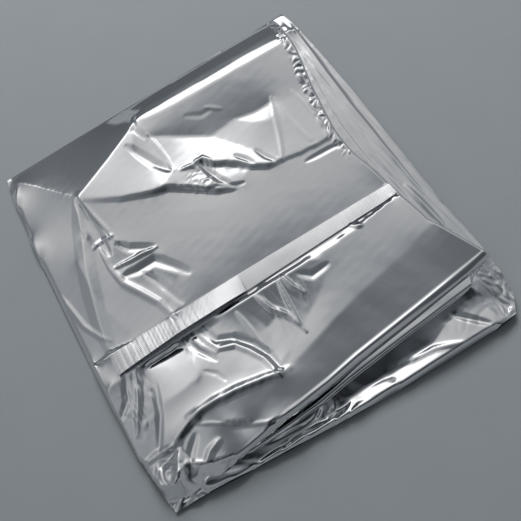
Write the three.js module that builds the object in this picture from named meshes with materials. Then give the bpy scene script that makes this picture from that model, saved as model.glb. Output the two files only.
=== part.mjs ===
// Light-proof bag: a large bag of metallised film, empty, folded once and lying flat.
// The closed end and the mouth lie together on the right, the fold across the bag is on the left.
// X runs from the fold to the mouth, Y runs away from the viewer, Z is up and the floor is at 0.
import * as THREE from 'three';

// Sizes in millimetres
const bagWidth = 230;
const bagDepth = 259;
const bagHeight = 20;
const rimRise = 1.2;
const rimInset = 1;
const finWidth = 12;
const finRise = 0.8;
const finShadowRun = 2.4;
const finShadowDrop = 0.8;
const edgeRun = 0.8;
const foldRun = 2.4;

// Spacing of the points that carry the film
const creaseStep = 5;
const panelStep = 7;
const panelClearance = 3.2;
const settleRounds = 300;

// Every place below is a share in hundredths: X of half the width, Y of half the depth,
// and Z of the height. The third number of the outline is the height of its lip.
const outline = [
  [-96.5, 99.5, 10], [-99, 84, 20], [-100, 52, 20], [-100, 16, 22], [-100, -11, 22],
  [-99.5, -42, 22], [-98, -69, 20], [-95.5, -79.5, 15], [-94.5, -90, 10], [-75.5, -92, 15],
  [-53, -95, 20], [-26, -96.5, 28], [0, -98, 38], [26, -99.5, 50], [54, -100, 56],
  [81, -100, 54], [93.5, -99, 30], [97.5, -91, 15], [99, -82, 15], [100, -71, 25],
  [99.5, -58, 15], [98.5, -35, 15], [98, 4, 15], [98, 37, 15], [97, 69, 15],
  [95.5, 89, 12], [93.5, 100, 10], [81, 100, 12], [54, 99, 14], [18, 98.5, 16],
  [-17.5, 98.5, 16], [-53, 99.5, 14], [-80, 100, 12],
];

// Film edges that stand over the layer below: X, Y, the height of the edge, the height at its foot.
// The lower layer lies on the right of the way each line runs.
const filmEdges = {
  nearFold: [
    [-78, -90.5, 25, 15], [-70.5, -89.5, 42, 25], [-43.5, -88.5, 64, 35], [-17.5, -86.5, 78, 50],
    [0, -84, 73, 58], [17, -80.5, 70, 58], [51.5, -76.5, 67, 56], [86, -73, 66, 52], [98.5, -71, 66, 30],
  ],
  mouth: [
    [98.5, -71, 66, 30], [93, -61.5, 66, 35], [88, -50, 65, 40], [84, -39.5, 64, 40], [82, -30, 61, 40],
    [81, -20.5, 55, 40], [78.5, -8, 54, 40], [75.5, 5, 56, 42], [75, 19.5, 62, 45], [77.5, 33, 57, 45],
    [80.5, 49, 56, 42], [84, 63, 62, 42], [85.5, 72, 66, 40], [86, 80, 69, 37], [87.5, 90, 52, 22],
  ],
  middleFold: [[-8.5, -88.5, 50, 37], [9, -86, 56, 42], [43.5, -83.5, 55, 42], [82, -80.5, 53, 42]],
};

// Steep folds, each falling away on its right hand side: X, Y, the height of the crest, that at its foot
const steepFolds = {
  crestLeft: [
    [-63.5, 59, 82, 78], [-52, 52, 84, 69], [-43, 47, 86, 66], [-34.5, 43.5, 87, 66],
    [-26, 40.5, 86, 64], [-17.5, 38.5, 86, 64], [-9.5, 33.5, 84, 64], [-2, 28, 80, 64],
    [3.5, 24, 74, 63], [10.5, 21, 70, 63], [16.5, 20, 65, 62],
  ],
  crestRight: [
    [6.5, 42, 80, 72], [9.5, 37.5, 79, 66], [16.5, 34, 77, 63], [22.5, 29.5, 76, 61], [26, 25.5, 74, 60],
    [34, 21, 72, 60], [42.5, 19.5, 69, 60], [52, 18, 67, 59], [62.5, 17.5, 65, 57], [73.5, 16.5, 63, 56],
  ],
  nearCrest: [
    [-62.5, -65, 83, 76], [-52, -65, 86, 77], [-39, -66, 89, 80], [-27.5, -68, 94, 85], [-17.5, -69.5, 100, 95],
  ],
  nearRib: [
    [-17.5, -69.5, 100, 95], [-18, -64.5, 94, 82], [-20.5, -59, 89, 74], [-24.5, -53, 83, 70],
    [-27, -48.5, 78, 68], [-33, -45.5, 74, 66], [-38.5, -43.5, 70, 63], [-41, -37.5, 65, 60], [-42, -33, 60, 57],
  ],
  nearBight: [
    [-65, -67.5, 78, 72], [-58, -71.5, 80, 70], [-50.5, -76.5, 78, 67],
    [-43.5, -80.5, 75, 65], [-34.5, -84, 74, 66], [-24.5, -86, 76, 70],
  ],
  innerRidge: [
    [-49.5, -18, 61, 58], [-51.5, -11.5, 66, 58], [-55, -4, 69, 57], [-60, 3, 70, 56],
    [-63.5, 9, 70, 58], [-64, 17, 68, 62], [-62, 25, 64, 62],
  ],
  platePleat: [[-41.5, -48, 75, 70], [-46, -41.5, 70, 64], [-49.5, -33.5, 59, 55]],
};

// Creases, gathers and the long soft bends of the panels
const creases = {
  farRidge: [[-13.5, 83.5, 76], [4.5, 82, 76], [26, 81, 74], [52, 81, 73], [84, 80.5, 71]],
  farShoulder: [[-19, 88, 62], [0, 88, 64], [26, 87, 65], [53, 87, 64], [85, 86.5, 62]],
  farFoot: [[-84, 95, 18], [-53, 95, 20], [-17.5, 94, 32], [18, 94, 40], [53.5, 94.5, 38], [86, 95, 33]],
  farSlant: [
    [-63.5, 59, 82], [-52, 64, 79], [-39, 69.5, 77], [-26, 75.5, 75], [-17.5, 80.5, 74], [-13.5, 83.5, 76],
  ],
  farHip: [[-63.5, 59, 82], [-74.5, 72, 60], [-84.5, 85.5, 37], [-91.5, 95, 18]],
  peakRib: [[-13.5, 83.5, 76], [-13, 76.5, 76], [-12, 70, 73]],
  peakGully: [[-17, 79, 68], [-16, 74.5, 67], [-14, 70, 70]],
  gullyBrow: [[-23.5, 69, 78], [-21.5, 62, 77], [-17.5, 53.5, 80], [-12, 47, 81]],
  gully: [[-12, 70, 70], [-10.5, 61, 69], [-9.5, 54, 72], [-10.5, 46.5, 78]],
  valley: [
    [-12, 70, 70], [-5, 66, 68], [2, 61.5, 66], [9.5, 57, 64], [17.5, 52, 62], [23, 45, 61],
    [29, 38, 61], [34, 33, 62], [38.5, 26, 64], [42.5, 19.5, 70],
  ],
  rightPleat: [[51, 12.5, 58], [58, 12, 54], [66.5, 11.5, 53], [74.5, 10.5, 54]],
  rightPleatFoot: [[52.5, 9.5, 59], [64.5, 8, 58], [74.5, 7, 57]],
  crumpleTop: [[-11.5, 46.5, 81], [-7, 43, 80], [0, 42, 80], [3.5, 44, 80], [6.5, 42, 80]],
  crumpleCleft: [[2.5, 40, 73], [4.5, 36, 71], [6, 31, 70], [8, 26, 67], [11.5, 22.5, 66]],
  crumpleHeel: [[-5.5, 35, 79], [0, 32.5, 78], [2.5, 28.5, 75]],
  rightFoldFoot: [[33.5, 53.5, 58], [40.5, 51.5, 56], [49, 50, 55], [56, 51.5, 55]],
  rightFold: [[33.5, 53.5, 58], [41, 46.5, 62], [48, 42.5, 64], [52.5, 45, 62], [56, 51.5, 55]],
  rightCrease: [[56, 51.5, 55], [52.5, 43, 59], [49, 33.5, 61], [45.5, 26, 65], [42.5, 19.5, 69]],
  rightRib: [[58.5, 48.5, 59], [57.5, 38.5, 61], [59, 29, 63], [61, 20.5, 65]],
  rightDart: [[69.5, 47, 57], [70.5, 38.5, 59], [71, 29.5, 60]],
  farPanel: [[-1.5, 76, 69], [26.5, 68.5, 65], [52.5, 66, 64], [77, 63, 65]],
  leftShoulder: [
    [-93, 91.5, 25], [-96, 78, 32], [-96, 50, 38], [-96.5, 18, 40], [-96.5, -9, 40],
    [-96, -33, 40], [-94.5, -52, 38], [-94, -67, 36],
  ],
  leftRidge: [
    [-63.5, 59, 82], [-67, 52, 77], [-69.5, 43, 73], [-72, 34, 68], [-76.5, 23.5, 62],
    [-81, 10, 57], [-84, -4, 54], [-85.5, -16, 54],
  ],
  leftGully: [[-63.5, 59, 82], [-64, 49.5, 68], [-63.5, 41, 63], [-63, 33, 62]],
  leftLip: [[-63.5, 59, 82], [-61, 49, 74], [-59, 39, 68], [-56.5, 27.5, 65]],
  leftBead: [[-66.5, 33, 63], [-62.5, 32, 69], [-59, 32.5, 65]],
  innerSpur: [[-64, 15.5, 68], [-54, 16, 67], [-47, 15, 66], [-41, 14.5, 64]],
  innerGully: [[-56.5, 26, 63], [-52.5, 21.5, 60], [-46.5, 19, 60]],
  innerDip: [[-60, 10.5, 62], [-54, 11, 59], [-48, 11.5, 59], [-43, 13, 60]],
  innerFold: [[-49, 6.5, 64], [-48, -1, 64], [-47, -8.5, 61]],
  leftScar: [[-94, 14, 42], [-92, 1.5, 44], [-88, -8, 49], [-82.5, -14, 53]],
  middleFlat: [[-39, 30, 62], [-26, 20, 61], [-8.5, 8.5, 60], [13, 1, 59], [35, -3, 58]],
  middleLow: [[-39, -3, 59], [-17.5, -8.5, 58], [9, -10, 57], [44, -9.5, 54], [74.5, -9.5, 54]],
  plateLeft: [[-72, -33, 54], [-73, -43, 59], [-74.5, -52.5, 63], [-78, -62, 64]],
  plateRight: [[-54, -33, 57], [-53, -43, 64], [-53, -52, 71]],
  plateTop: [[-73, -52.5, 64], [-62.5, -52, 69], [-53, -52, 71]],
  hollowLip: [
    [-17.5, -69.5, 100], [-9.5, -64, 86], [0, -59, 79], [8.5, -54, 75], [17.5, -49.5, 72],
    [25.5, -43.5, 68], [30.5, -38.5, 65],
  ],
  hollowFloor: [[-14, -55, 70], [-7, -47, 65], [3.5, -43, 64], [12.5, -41, 63], [21, -37, 62]],
  hollowPleat: [[8, -33, 61], [10.5, -38, 67], [13, -43.5, 68]],
  hollowFan: [[3.5, -34.5, 61], [2.5, -46, 68], [3.5, -55, 74]],
  nearSoft: [
    [-17.5, -69.5, 100], [0, -67, 84], [17, -62.5, 77], [34.5, -59, 74], [52, -55.5, 72],
    [69.5, -51.5, 70], [84, -47.5, 68],
  ],
  nearBand: [[39, -46, 71], [56.5, -43.5, 70], [77, -40, 69]],
  seamSide: [[26, -32.5, 64], [42, -32, 66], [60, -31.5, 67], [77.5, -31, 66]],
  leftPleatOne: [[-84, -34, 53], [-88.5, -40.5, 50], [-92, -46, 44]],
  leftPleatTwo: [[-80.5, -34, 57], [-85, -41.5, 54], [-91, -51.5, 46]],
  leftPleatThree: [[-76.5, -34.5, 52], [-81.5, -44, 53], [-87.5, -53, 49], [-91.5, -63.5, 43]],
  cornerRidge: [[-77.5, -73, 65], [-80.5, -78.5, 58], [-85.5, -84, 42], [-87, -88, 25]],
  cornerTuck: [[-91.5, -74, 45], [-85, -74, 55], [-79.5, -74.5, 60]],
  cornerHollow: [[-91.5, -77, 37], [-89.5, -82, 30], [-90.5, -86.5, 20]],
  cornerSwirl: [[-81.5, -81, 54], [-77, -80.5, 60], [-73.5, -83, 57], [-77.5, -85.5, 45]],
  cornerToe: [[-68.5, -85.5, 48], [-63, -81.5, 62], [-58.5, -79.5, 65]],
  nearRise: [[-95.5, -70.5, 35], [-87.5, -70, 50], [-78.5, -70.5, 60], [-69.5, -68, 73], [-62.5, -65, 83]],
  nearPanel: [[-13, -77, 83], [17, -72.5, 76], [52, -66, 71], [86.5, -59, 69]],
  nearChannel: [[0, -91.5, 32], [27, -93, 35], [53, -90.5, 37], [69, -87, 39], [84, -84.5, 40]],
  nearFan: [[71, -87, 40], [74, -92, 46], [77, -96.5, 52]],
  mouthCrinkle: [[90, 71.5, 37], [84.5, 54, 42], [85, 41, 42], [84, 24, 45], [85, 11.5, 42]],
  mouthPucker: [[90, -18, 42], [90.5, -33, 44], [91.5, -49.5, 42]],
  mouthFall: [[92.5, 82, 20], [94, 51.5, 20], [94, 20, 20], [94, -19.5, 20], [95, -43.5, 22]],
  endSeal: [[85.5, -81, 42], [91, -86, 35], [94.5, -89.5, 22]],
};

// The back seam lies over as a fin. Along it go X, its share of the fin's width, and the height of the film.
const finRoot = -19;
const fin = [
  [-85, 1.22, 55], [-70, 1.2, 56], [-52, 1.16, 57], [-35, 1.12, 58], [0, 1, 57],
  [35, 0.84, 55], [55, 0.78, 54], [79, 0.75, 54],
];

const halfWidth = bagWidth / 2;
const halfDepth = bagDepth / 2;

// Turns shares in hundredths into a point in millimetres
function place([x, y, z]) {
  return new THREE.Vector3((x * halfWidth) / 100, (y * halfDepth) / 100, (z * bagHeight) / 100);
}

// Walks straight from point to point with even steps, each given point kept
function straightRun(points) {
  const run = [];
  for (let i = 1; i < points.length; i += 1) {
    const from = points[i - 1];
    const to = points[i];
    const count = Math.max(1, Math.round(Math.hypot(to.x - from.x, to.y - from.y) / creaseStep));
    for (let k = 0; k < count; k += 1) {
      run.push(from.clone().lerp(to, k / count));
    }
  }
  run.push(points[points.length - 1].clone());
  return run;
}

// Bends a smooth line through the points and takes even steps along it
function softRun(points) {
  const curve = new THREE.CatmullRomCurve3(points, false, 'centripetal');
  return curve.getSpacedPoints(Math.max(1, Math.round(curve.getLength() / creaseStep)));
}

// Gives the direction across a run at one of its points, on the right of the way it goes
function across(run, index) {
  const before = run[Math.max(0, index - 1)];
  const after = run[Math.min(run.length - 1, index + 1)];
  return new THREE.Vector2(after.y - before.y, before.x - after.x).normalize();
}

// Shifts every point of a run sideways by a width and to new heights
function shifted(run, width, heights) {
  return run.map((point, index) => {
    const side = across(run, index);
    return new THREE.Vector3(point.x + side.x * width, point.y + side.y * width, heights[index]);
  });
}

// Points of the film, none of them closer to an earlier one than the gap asked for
const nodes = [];
function addRun(run, gap) {
  for (const point of run) {
    if (nodes.every((node) => Math.hypot(node.x - point.x, node.y - point.y) > gap)) {
      nodes.push(point);
    }
  }
}

// The rim: a low outer line and the lip of the film just inside it
const rim = straightRun([...outline, outline[0]].map(place)).slice(0, -1);
const rimLoop = [rim[rim.length - 1], ...rim, rim[0]];
const lip = shifted(rimLoop, -rimInset, rimLoop.map((point) => Math.max(point.z, rimRise))).slice(1, -1);
const rimFloor = rim.map((point) => new THREE.Vector3(point.x, point.y, rimRise));
addRun(rimFloor, edgeRun / 2);
addRun(lip, rimInset / 2);

// Film edges, each with its foot beside it
for (const points of Object.values(filmEdges)) {
  const upper = straightRun(points.map(place));
  const lower = straightRun(points.map(([x, y, , foot]) => place([x, y, foot])));
  addRun(upper, edgeRun * 0.7);
  addRun(shifted(upper, edgeRun, lower.map((point) => point.z)), edgeRun * 0.7);
}

// Steep folds, each with its foot beside it
for (const points of Object.values(steepFolds)) {
  const crest = new THREE.CatmullRomCurve3(points.map(place), false, 'centripetal');
  const foot = new THREE.CatmullRomCurve3(points.map(([x, y, , low]) => place([x, y, low])), false, 'centripetal');
  const count = Math.round(crest.getLength() / creaseStep);
  const upper = crest.getPoints(count);
  addRun(upper, edgeRun);
  addRun(shifted(upper, foldRun, foot.getPoints(count).map((point) => point.z)), edgeRun);
}

// The fin of the back seam: its root, its raised free edge and the film falling away below it
const finLine = straightRun(fin.map(([x, , z]) => place([x, finRoot, z])));
const finShares = straightRun(fin.map(([x, share]) => new THREE.Vector3((x * halfWidth) / 100, 0, share)));
const finEdge = finLine.map((point, index) => {
  return new THREE.Vector3(point.x, point.y - finWidth * finShares[index].z, point.z + finRise);
});
addRun(finLine, edgeRun);
addRun(finEdge, edgeRun);
addRun(shifted(finEdge, edgeRun, finLine.map((point) => point.z)), edgeRun * 0.7);
addRun(shifted(finEdge, finShadowRun, finLine.map((point) => point.z - finShadowDrop)), edgeRun);

// Creases keep off the edges and off each other
for (const points of Object.values(creases)) {
  addRun(softRun(points.map(place)), edgeRun * 1.8);
}

// Tells whether a place in plan lies inside a closed line
function isInside(loop, x, y) {
  let inside = false;
  loop.forEach((a, index) => {
    const b = loop[(index + 1) % loop.length];
    if (a.y > y !== b.y > y && x < ((b.x - a.x) * (y - a.y)) / (b.y - a.y) + a.x) {
      inside = !inside;
    }
  });
  return inside;
}

// Plain panels take points on a staggered grid wherever there is room
const firmCount = nodes.length;
const rowStep = (panelStep * Math.sqrt(3)) / 2;
const rowCount = Math.ceil(halfDepth / rowStep);
const columnCount = Math.ceil(halfWidth / panelStep);
for (let row = -rowCount; row <= rowCount; row += 1) {
  for (let column = -columnCount; column <= columnCount; column += 1) {
    const x = (column + (row & 1 ? 0.5 : 0)) * panelStep;
    const y = row * rowStep;
    if (isInside(rim, x, y)) {
      addRun([new THREE.Vector3(x, y, bagHeight / 2)], panelClearance);
    }
  }
}

// Circle through the three corners of a triangle
function circleOf(a, b, c) {
  const d = 2 * (a.x * (b.y - c.y) + b.x * (c.y - a.y) + c.x * (a.y - b.y));
  const aa = a.x * a.x + a.y * a.y;
  const bb = b.x * b.x + b.y * b.y;
  const cc = c.x * c.x + c.y * c.y;
  const x = (aa * (b.y - c.y) + bb * (c.y - a.y) + cc * (a.y - b.y)) / d;
  const y = (aa * (c.x - b.x) + bb * (a.x - c.x) + cc * (b.x - a.x)) / d;
  return { x, y, reach: (a.x - x) ** 2 + (a.y - y) ** 2 };
}

// Joins the points into well-shaped triangles. Points go in one at a time, and each one
// clears the triangles whose circle holds it and is joined to the edge of the cleared patch.
function joinUp(points) {
  const far = 20 * (bagWidth + bagDepth);
  const plan = points.map((point, index) => ({
    x: point.x + 0.002 * Math.sin(index * 12.9898),
    y: point.y + 0.002 * Math.sin(index * 78.233),
  }));
  plan.push({ x: -far, y: -far }, { x: far, y: -far }, { x: 0, y: far });
  const first = [points.length, points.length + 1, points.length + 2];
  let faces = [{ corners: first, circle: circleOf(...first.map((i) => plan[i])) }];
  for (let index = 0; index < points.length; index += 1) {
    const { x, y } = plan[index];
    const holds = ({ circle }) => (circle.x - x) ** 2 + (circle.y - y) ** 2 < circle.reach;
    const edges = new Map();
    for (const { corners } of faces.filter(holds)) {
      corners.forEach((from, k) => {
        const to = corners[(k + 1) % 3];
        if (!edges.delete(`${to} ${from}`)) {
          edges.set(`${from} ${to}`, [from, to]);
        }
      });
    }
    faces = faces.filter((face) => !holds(face));
    for (const [from, to] of edges.values()) {
      const corners = [from, to, index];
      faces.push({ corners, circle: circleOf(plan[from], plan[to], plan[index]) });
    }
  }
  return faces.map((face) => face.corners).filter((corners) => corners.every((i) => i < points.length));
}

// Film triangles inside the outline
const film = joinUp(nodes).filter((corners) => {
  const x = corners.reduce((sum, i) => sum + nodes[i].x, 0) / 3;
  const y = corners.reduce((sum, i) => sum + nodes[i].y, 0) / 3;
  return isInside(rim, x, y);
});

// Between the creases the film hangs taut: each free point settles to the middle of its neighbours
const neighbours = nodes.map(() => new Set());
for (const [a, b, c] of film) {
  neighbours[a].add(b).add(c);
  neighbours[b].add(a).add(c);
  neighbours[c].add(a).add(b);
}
for (let round = 0; round < settleRounds; round += 1) {
  for (let index = firmCount; index < nodes.length; index += 1) {
    let pull = 0;
    let height = 0;
    for (const other of neighbours[index]) {
      const near = 1 / Math.hypot(nodes[other].x - nodes[index].x, nodes[other].y - nodes[index].y);
      pull += near;
      height += near * nodes[other].z;
    }
    nodes[index].z = height / pull;
  }
}

// The open edge of the film, followed once round
const follows = new Map();
for (const corners of film) {
  corners.forEach((from, k) => follows.set(`${from} ${corners[(k + 1) % 3]}`, [from, corners[(k + 1) % 3]]));
}
const nextOnEdge = new Map();
for (const [from, to] of follows.values()) {
  if (!follows.has(`${to} ${from}`)) {
    nextOnEdge.set(from, to);
  }
}
const loop = [nextOnEdge.keys().next().value];
while (nextOnEdge.get(loop[loop.length - 1]) !== loop[0]) {
  loop.push(nextOnEdge.get(loop[loop.length - 1]));
}

// One closed body: film above, a short wall round the rim and a flat underside on the floor
const floorStart = nodes.length;
const corners = [...nodes, ...loop.map((i) => new THREE.Vector3(nodes[i].x, nodes[i].y, 0))];
const faces = [...film];
loop.forEach((top, k) => {
  const next = (k + 1) % loop.length;
  faces.push([top, floorStart + k, floorStart + next], [top, floorStart + next, loop[next]]);
});
const flat = loop.map((i) => new THREE.Vector2(nodes[i].x, nodes[i].y));
for (const [a, b, c] of THREE.ShapeUtils.triangulateShape(flat, [])) {
  faces.push([floorStart + a, floorStart + c, floorStart + b]);
}

const geometry = new THREE.BufferGeometry();
geometry.setAttribute('position', new THREE.Float32BufferAttribute(corners.flatMap((p) => [p.x, p.y, p.z]), 3));
geometry.setIndex(faces.flat());
geometry.computeVertexNormals();

const metallisedFilm = new THREE.MeshStandardMaterial({
  color: 0xbfc1c4,
  metalness: 1,
  roughness: 0.22,
  flatShading: true,
});
const bag = new THREE.Mesh(geometry, metallisedFilm);
bag.name = 'light_proof_bag';

const group = new THREE.Group();
group.name = 'light_proof_bag_folded';
group.add(bag);

export default group;
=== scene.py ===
"""Large empty bag of metallised film, folded once and lying flat on a pale surface.

The bag is built as the layers of film that show: the upper half with its creases, the fin of the
back seam, the inner layers that look out at the near side and at the mouth, and the lower half.
Every layer is a height field worked out with numpy. Lengths in the tables are millimetres, and the
meshes are in metres in the frame of the CAD model.
"""
import logging
import math
from dataclasses import dataclass
from enum import Enum
from typing import Sequence

import bpy
import numpy as np
from mathutils import Matrix, Vector


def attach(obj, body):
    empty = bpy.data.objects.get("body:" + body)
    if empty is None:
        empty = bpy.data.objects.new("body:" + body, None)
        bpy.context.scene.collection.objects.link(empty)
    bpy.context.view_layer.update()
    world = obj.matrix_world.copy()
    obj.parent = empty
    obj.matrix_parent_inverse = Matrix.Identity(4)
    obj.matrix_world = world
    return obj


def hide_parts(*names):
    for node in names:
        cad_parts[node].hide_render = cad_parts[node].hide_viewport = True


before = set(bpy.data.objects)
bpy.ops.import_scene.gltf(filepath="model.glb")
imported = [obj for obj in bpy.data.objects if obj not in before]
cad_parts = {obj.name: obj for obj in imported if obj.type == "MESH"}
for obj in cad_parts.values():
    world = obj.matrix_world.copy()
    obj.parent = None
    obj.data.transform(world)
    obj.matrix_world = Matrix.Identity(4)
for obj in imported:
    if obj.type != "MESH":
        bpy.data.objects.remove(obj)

LOG = logging.getLogger("light_proof_bag")
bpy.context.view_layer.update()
CAD_NODE = "light_proof_bag"
MM = 0.001

# Eye of the viewer, and the height at which the panels of film are taken to mirror the room
EYE = np.array([-14.3, -201.8, 413.9])
MIRROR_HEIGHT = 13.0

# Waves in each smooth noise, and the least and most stretch of their lengths
NOISE_WAVES = 14
NOISE_STRETCH = (0.6, 1.7)

Points = Sequence[tuple[float, ...]]
Array = np.ndarray


def line_length(points: Points) -> float:
    """Give the length of a line through points."""
    return float(np.hypot(*np.diff(np.array(points, float)[:, :2], axis=0).T).sum())


def curve(points: Points, count: int) -> Array:
    """Sample a line through points evenly along its length.

    Args:
        points: Corners of the line, with x and y first.
        count: Number of samples.

    Returns:
        Samples with as many columns as the points have.
    """
    given = np.array(points, float)
    way = np.r_[0, np.cumsum(np.hypot(*np.diff(given[:, :2], axis=0).T))]
    at = np.linspace(0, way[-1], count)
    return np.stack([np.interp(at, way, column) for column in given.T], 1)


def distance_to(x: Array, y: Array, points: Points) -> Array:
    """Give the distance from each place to a line through points, the least of those to its parts.

    Args:
        x: Places along X.
        y: Places along Y.
        points: Corners of the line, with x and y first.

    Returns:
        Distances of the same shape as x.
    """
    best = np.full(x.shape, np.inf)
    given = np.array(points, float)[:, :2]
    for a, b in zip(given[:-1], given[1:]):
        way = b - a
        t = np.clip(((x - a[0]) * way[0] + (y - a[1]) * way[1]) / max(way @ way, 1e-9), 0, 1)
        best = np.minimum(best, np.hypot(x - a[0] - t * way[0], y - a[1] - t * way[1]))
    return best


def is_inside(x: Array, y: Array, corners: Array) -> Array:
    """Tell which places are inside a closed outline, by counting the sides to their right.

    Args:
        x: Places along X.
        y: Places along Y.
        corners: Corners of the outline, one to a row.

    Returns:
        True for each place that is inside.
    """
    inside = np.zeros(x.shape, bool)
    for (ax, ay), (bx, by) in zip(corners, np.roll(corners, -1, 0)):
        if ay != by:
            crosses = (ay > y) != (by > y)
            inside ^= crosses & (x < ax + (y - ay) * (bx - ax) / (by - ay))
    return inside


def patch(near: Array, far: Array, left: Array, right: Array) -> Array:
    """Fill the space between four boundary lines that share their corners.

    Each place is the blend of near and far, plus the blend of left and right, less the blend of the
    four corners.

    Args:
        near: Boundary from left to right on the near side.
        far: Boundary from left to right on the far side.
        left: Boundary from near to far on the left.
        right: Boundary from near to far on the right.

    Returns:
        Places of shape rows, columns, 2, the first row near and the first column left.
    """
    u = np.linspace(0, 1, len(near))[None, :, None]
    v = np.linspace(0, 1, len(left))[:, None, None]
    across = (1 - v) * near[None] + v * far[None]
    along = (1 - u) * left[:, None] + u * right[:, None]
    corners = (1 - v) * ((1 - u) * near[0] + u * near[-1]) + v * ((1 - u) * far[0] + u * far[-1])
    return across + along - corners


def weave(name: str, places: Array) -> bpy.types.Object:
    """Make a smooth mesh from a grid of places.

    Args:
        name: Name of the piece.
        places: Places in millimetres, of shape rows, columns, 3. Rows run away from the viewer and
            columns to the right, so that the faces point up.

    Returns:
        The new object, linked to the scene.
    """
    rows, columns = places.shape[:2]
    first = (np.arange(rows - 1)[:, None] * columns + np.arange(columns - 1)[None]).ravel()
    quads = np.stack([first, first + 1, first + columns + 1, first + columns], 1)
    mesh = bpy.data.meshes.new(name)
    mesh.vertices.add(rows * columns)
    mesh.vertices.foreach_set("co", (places.reshape(-1, 3) * MM).ravel())
    mesh.loops.add(quads.size)
    mesh.loops.foreach_set("vertex_index", quads.ravel())
    mesh.polygons.add(len(quads))
    mesh.polygons.foreach_set("loop_start", np.arange(len(quads)) * 4)
    mesh.polygons.foreach_set("use_smooth", np.ones(len(quads), bool))
    mesh.update(calc_edges=True)
    mesh.validate()
    piece = bpy.data.objects.new(name, mesh)
    bpy.context.scene.collection.objects.link(piece)
    return piece


def soft_noise(x: Array, y: Array, size: float, seed: int) -> Array:
    """Give a smooth random height between about -1 and 1 at each place.

    It is the sum of waves whose directions and phases are drawn from a seeded generator.

    Args:
        x: Places along X.
        y: Places along Y.
        size: Length of the middle wave.
        seed: Number that fixes the pattern.

    Returns:
        Heights of the same shape as x.
    """
    draw = np.random.default_rng(seed)
    turns, phases = (draw.uniform(0, 2 * math.pi, NOISE_WAVES) for _ in range(2))
    total = np.zeros_like(x)
    for turn, phase, stretch in zip(turns, phases, draw.uniform(*NOISE_STRETCH, NOISE_WAVES)):
        way = x * math.cos(turn) + y * math.sin(turn)
        total += np.sin(way * 2 * math.pi / (size * stretch) + phase)
    return total * math.sqrt(2 / NOISE_WAVES) * 0.5


def rumple(x: Array, y: Array, size: float, seed: int) -> Array:
    """Give sharp small creases: the folded value of smooth noise, bent by a second noise."""
    shift = soft_noise(x, y, size * 1.6, seed + 1) * size * 0.5
    return np.abs(soft_noise(x + shift, y - shift, size, seed)) * 2 - 0.8


def tilt_that_mirrors(x: Array, y: Array, height: Array, turn: float) -> Array:
    """Find the slope of film that mirrors a given direction to the viewer.

    The face of the film looks halfway between the viewer and the mirrored direction.

    Args:
        x: Places along X.
        y: Places along Y.
        height: Mirrored direction's height above the horizon in degrees.
        turn: How far it turns to the right of the one that level film mirrors, in degrees.

    Returns:
        Slope along X and along Y, stacked last.
    """
    to_eye = np.stack([EYE[0] - x, EYE[1] - y, np.full_like(x, EYE[2] - MIRROR_HEIGHT)], -1)
    to_eye /= np.linalg.norm(to_eye, axis=-1, keepdims=True)
    rise, side = np.radians(height), math.radians(turn) + np.arctan2(x - EYE[0], y - EYE[1])
    seen = np.stack([np.sin(side) * np.cos(rise), np.cos(side) * np.cos(rise), np.sin(rise)], -1)
    face = to_eye + seen
    return -face[..., :2] / face[..., 2:]


@dataclass(frozen=True)
class Panel:
    """A smooth panel of film between creases, told by what it mirrors to the viewer.

    Attributes:
        corners: Outline as x, y and the mirrored height above the horizon in degrees.
        turn: How far the mirrored direction turns to the right of the one that level film mirrors.
        fade: Distance over which the panel runs into its neighbours, or 0 for a crease.
    """

    corners: Points
    turn: float = 0.0
    fade: float = 0.0

    def tilts(self, x: Array, y: Array) -> tuple[Array, Array, Array]:
        """Give the places inside the panel and their slopes.

        The mirrored height at a place is the mean of those at the corners, each weighed by the
        inverse square of its distance.

        Args:
            x: Places along X.
            y: Places along Y.

        Returns:
            Which places are inside, the slopes there, and how far they cover what lies below.
        """
        given = np.array(self.corners, float)
        inside = is_inside(x, y, given[:, :2])
        px, py = x[inside], y[inside]
        near = 1 / ((px[:, None] - given[:, 0]) ** 2 + (py[:, None] - given[:, 1]) ** 2 + 4.0)
        height = (near * given[:, 2]).sum(1) / near.sum(1)
        cover = np.ones((len(px), 1))
        if self.fade:
            rim = distance_to(px, py, [*self.corners, self.corners[0]])
            cover = np.clip(rim / self.fade, 0, 1)[:, None]
        return inside, tilt_that_mirrors(px, py, height, self.turn), cover


@dataclass(frozen=True)
class Hold:
    """A line that the film is held at, as x, y and height, and how firmly it is held."""

    points: Points
    firm: float = 0.3


@dataclass(frozen=True)
class Step:
    """A line where the film drops on its right, as x, y and depth, and how wide the drop is."""

    points: Points
    run: float = 1.0


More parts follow.
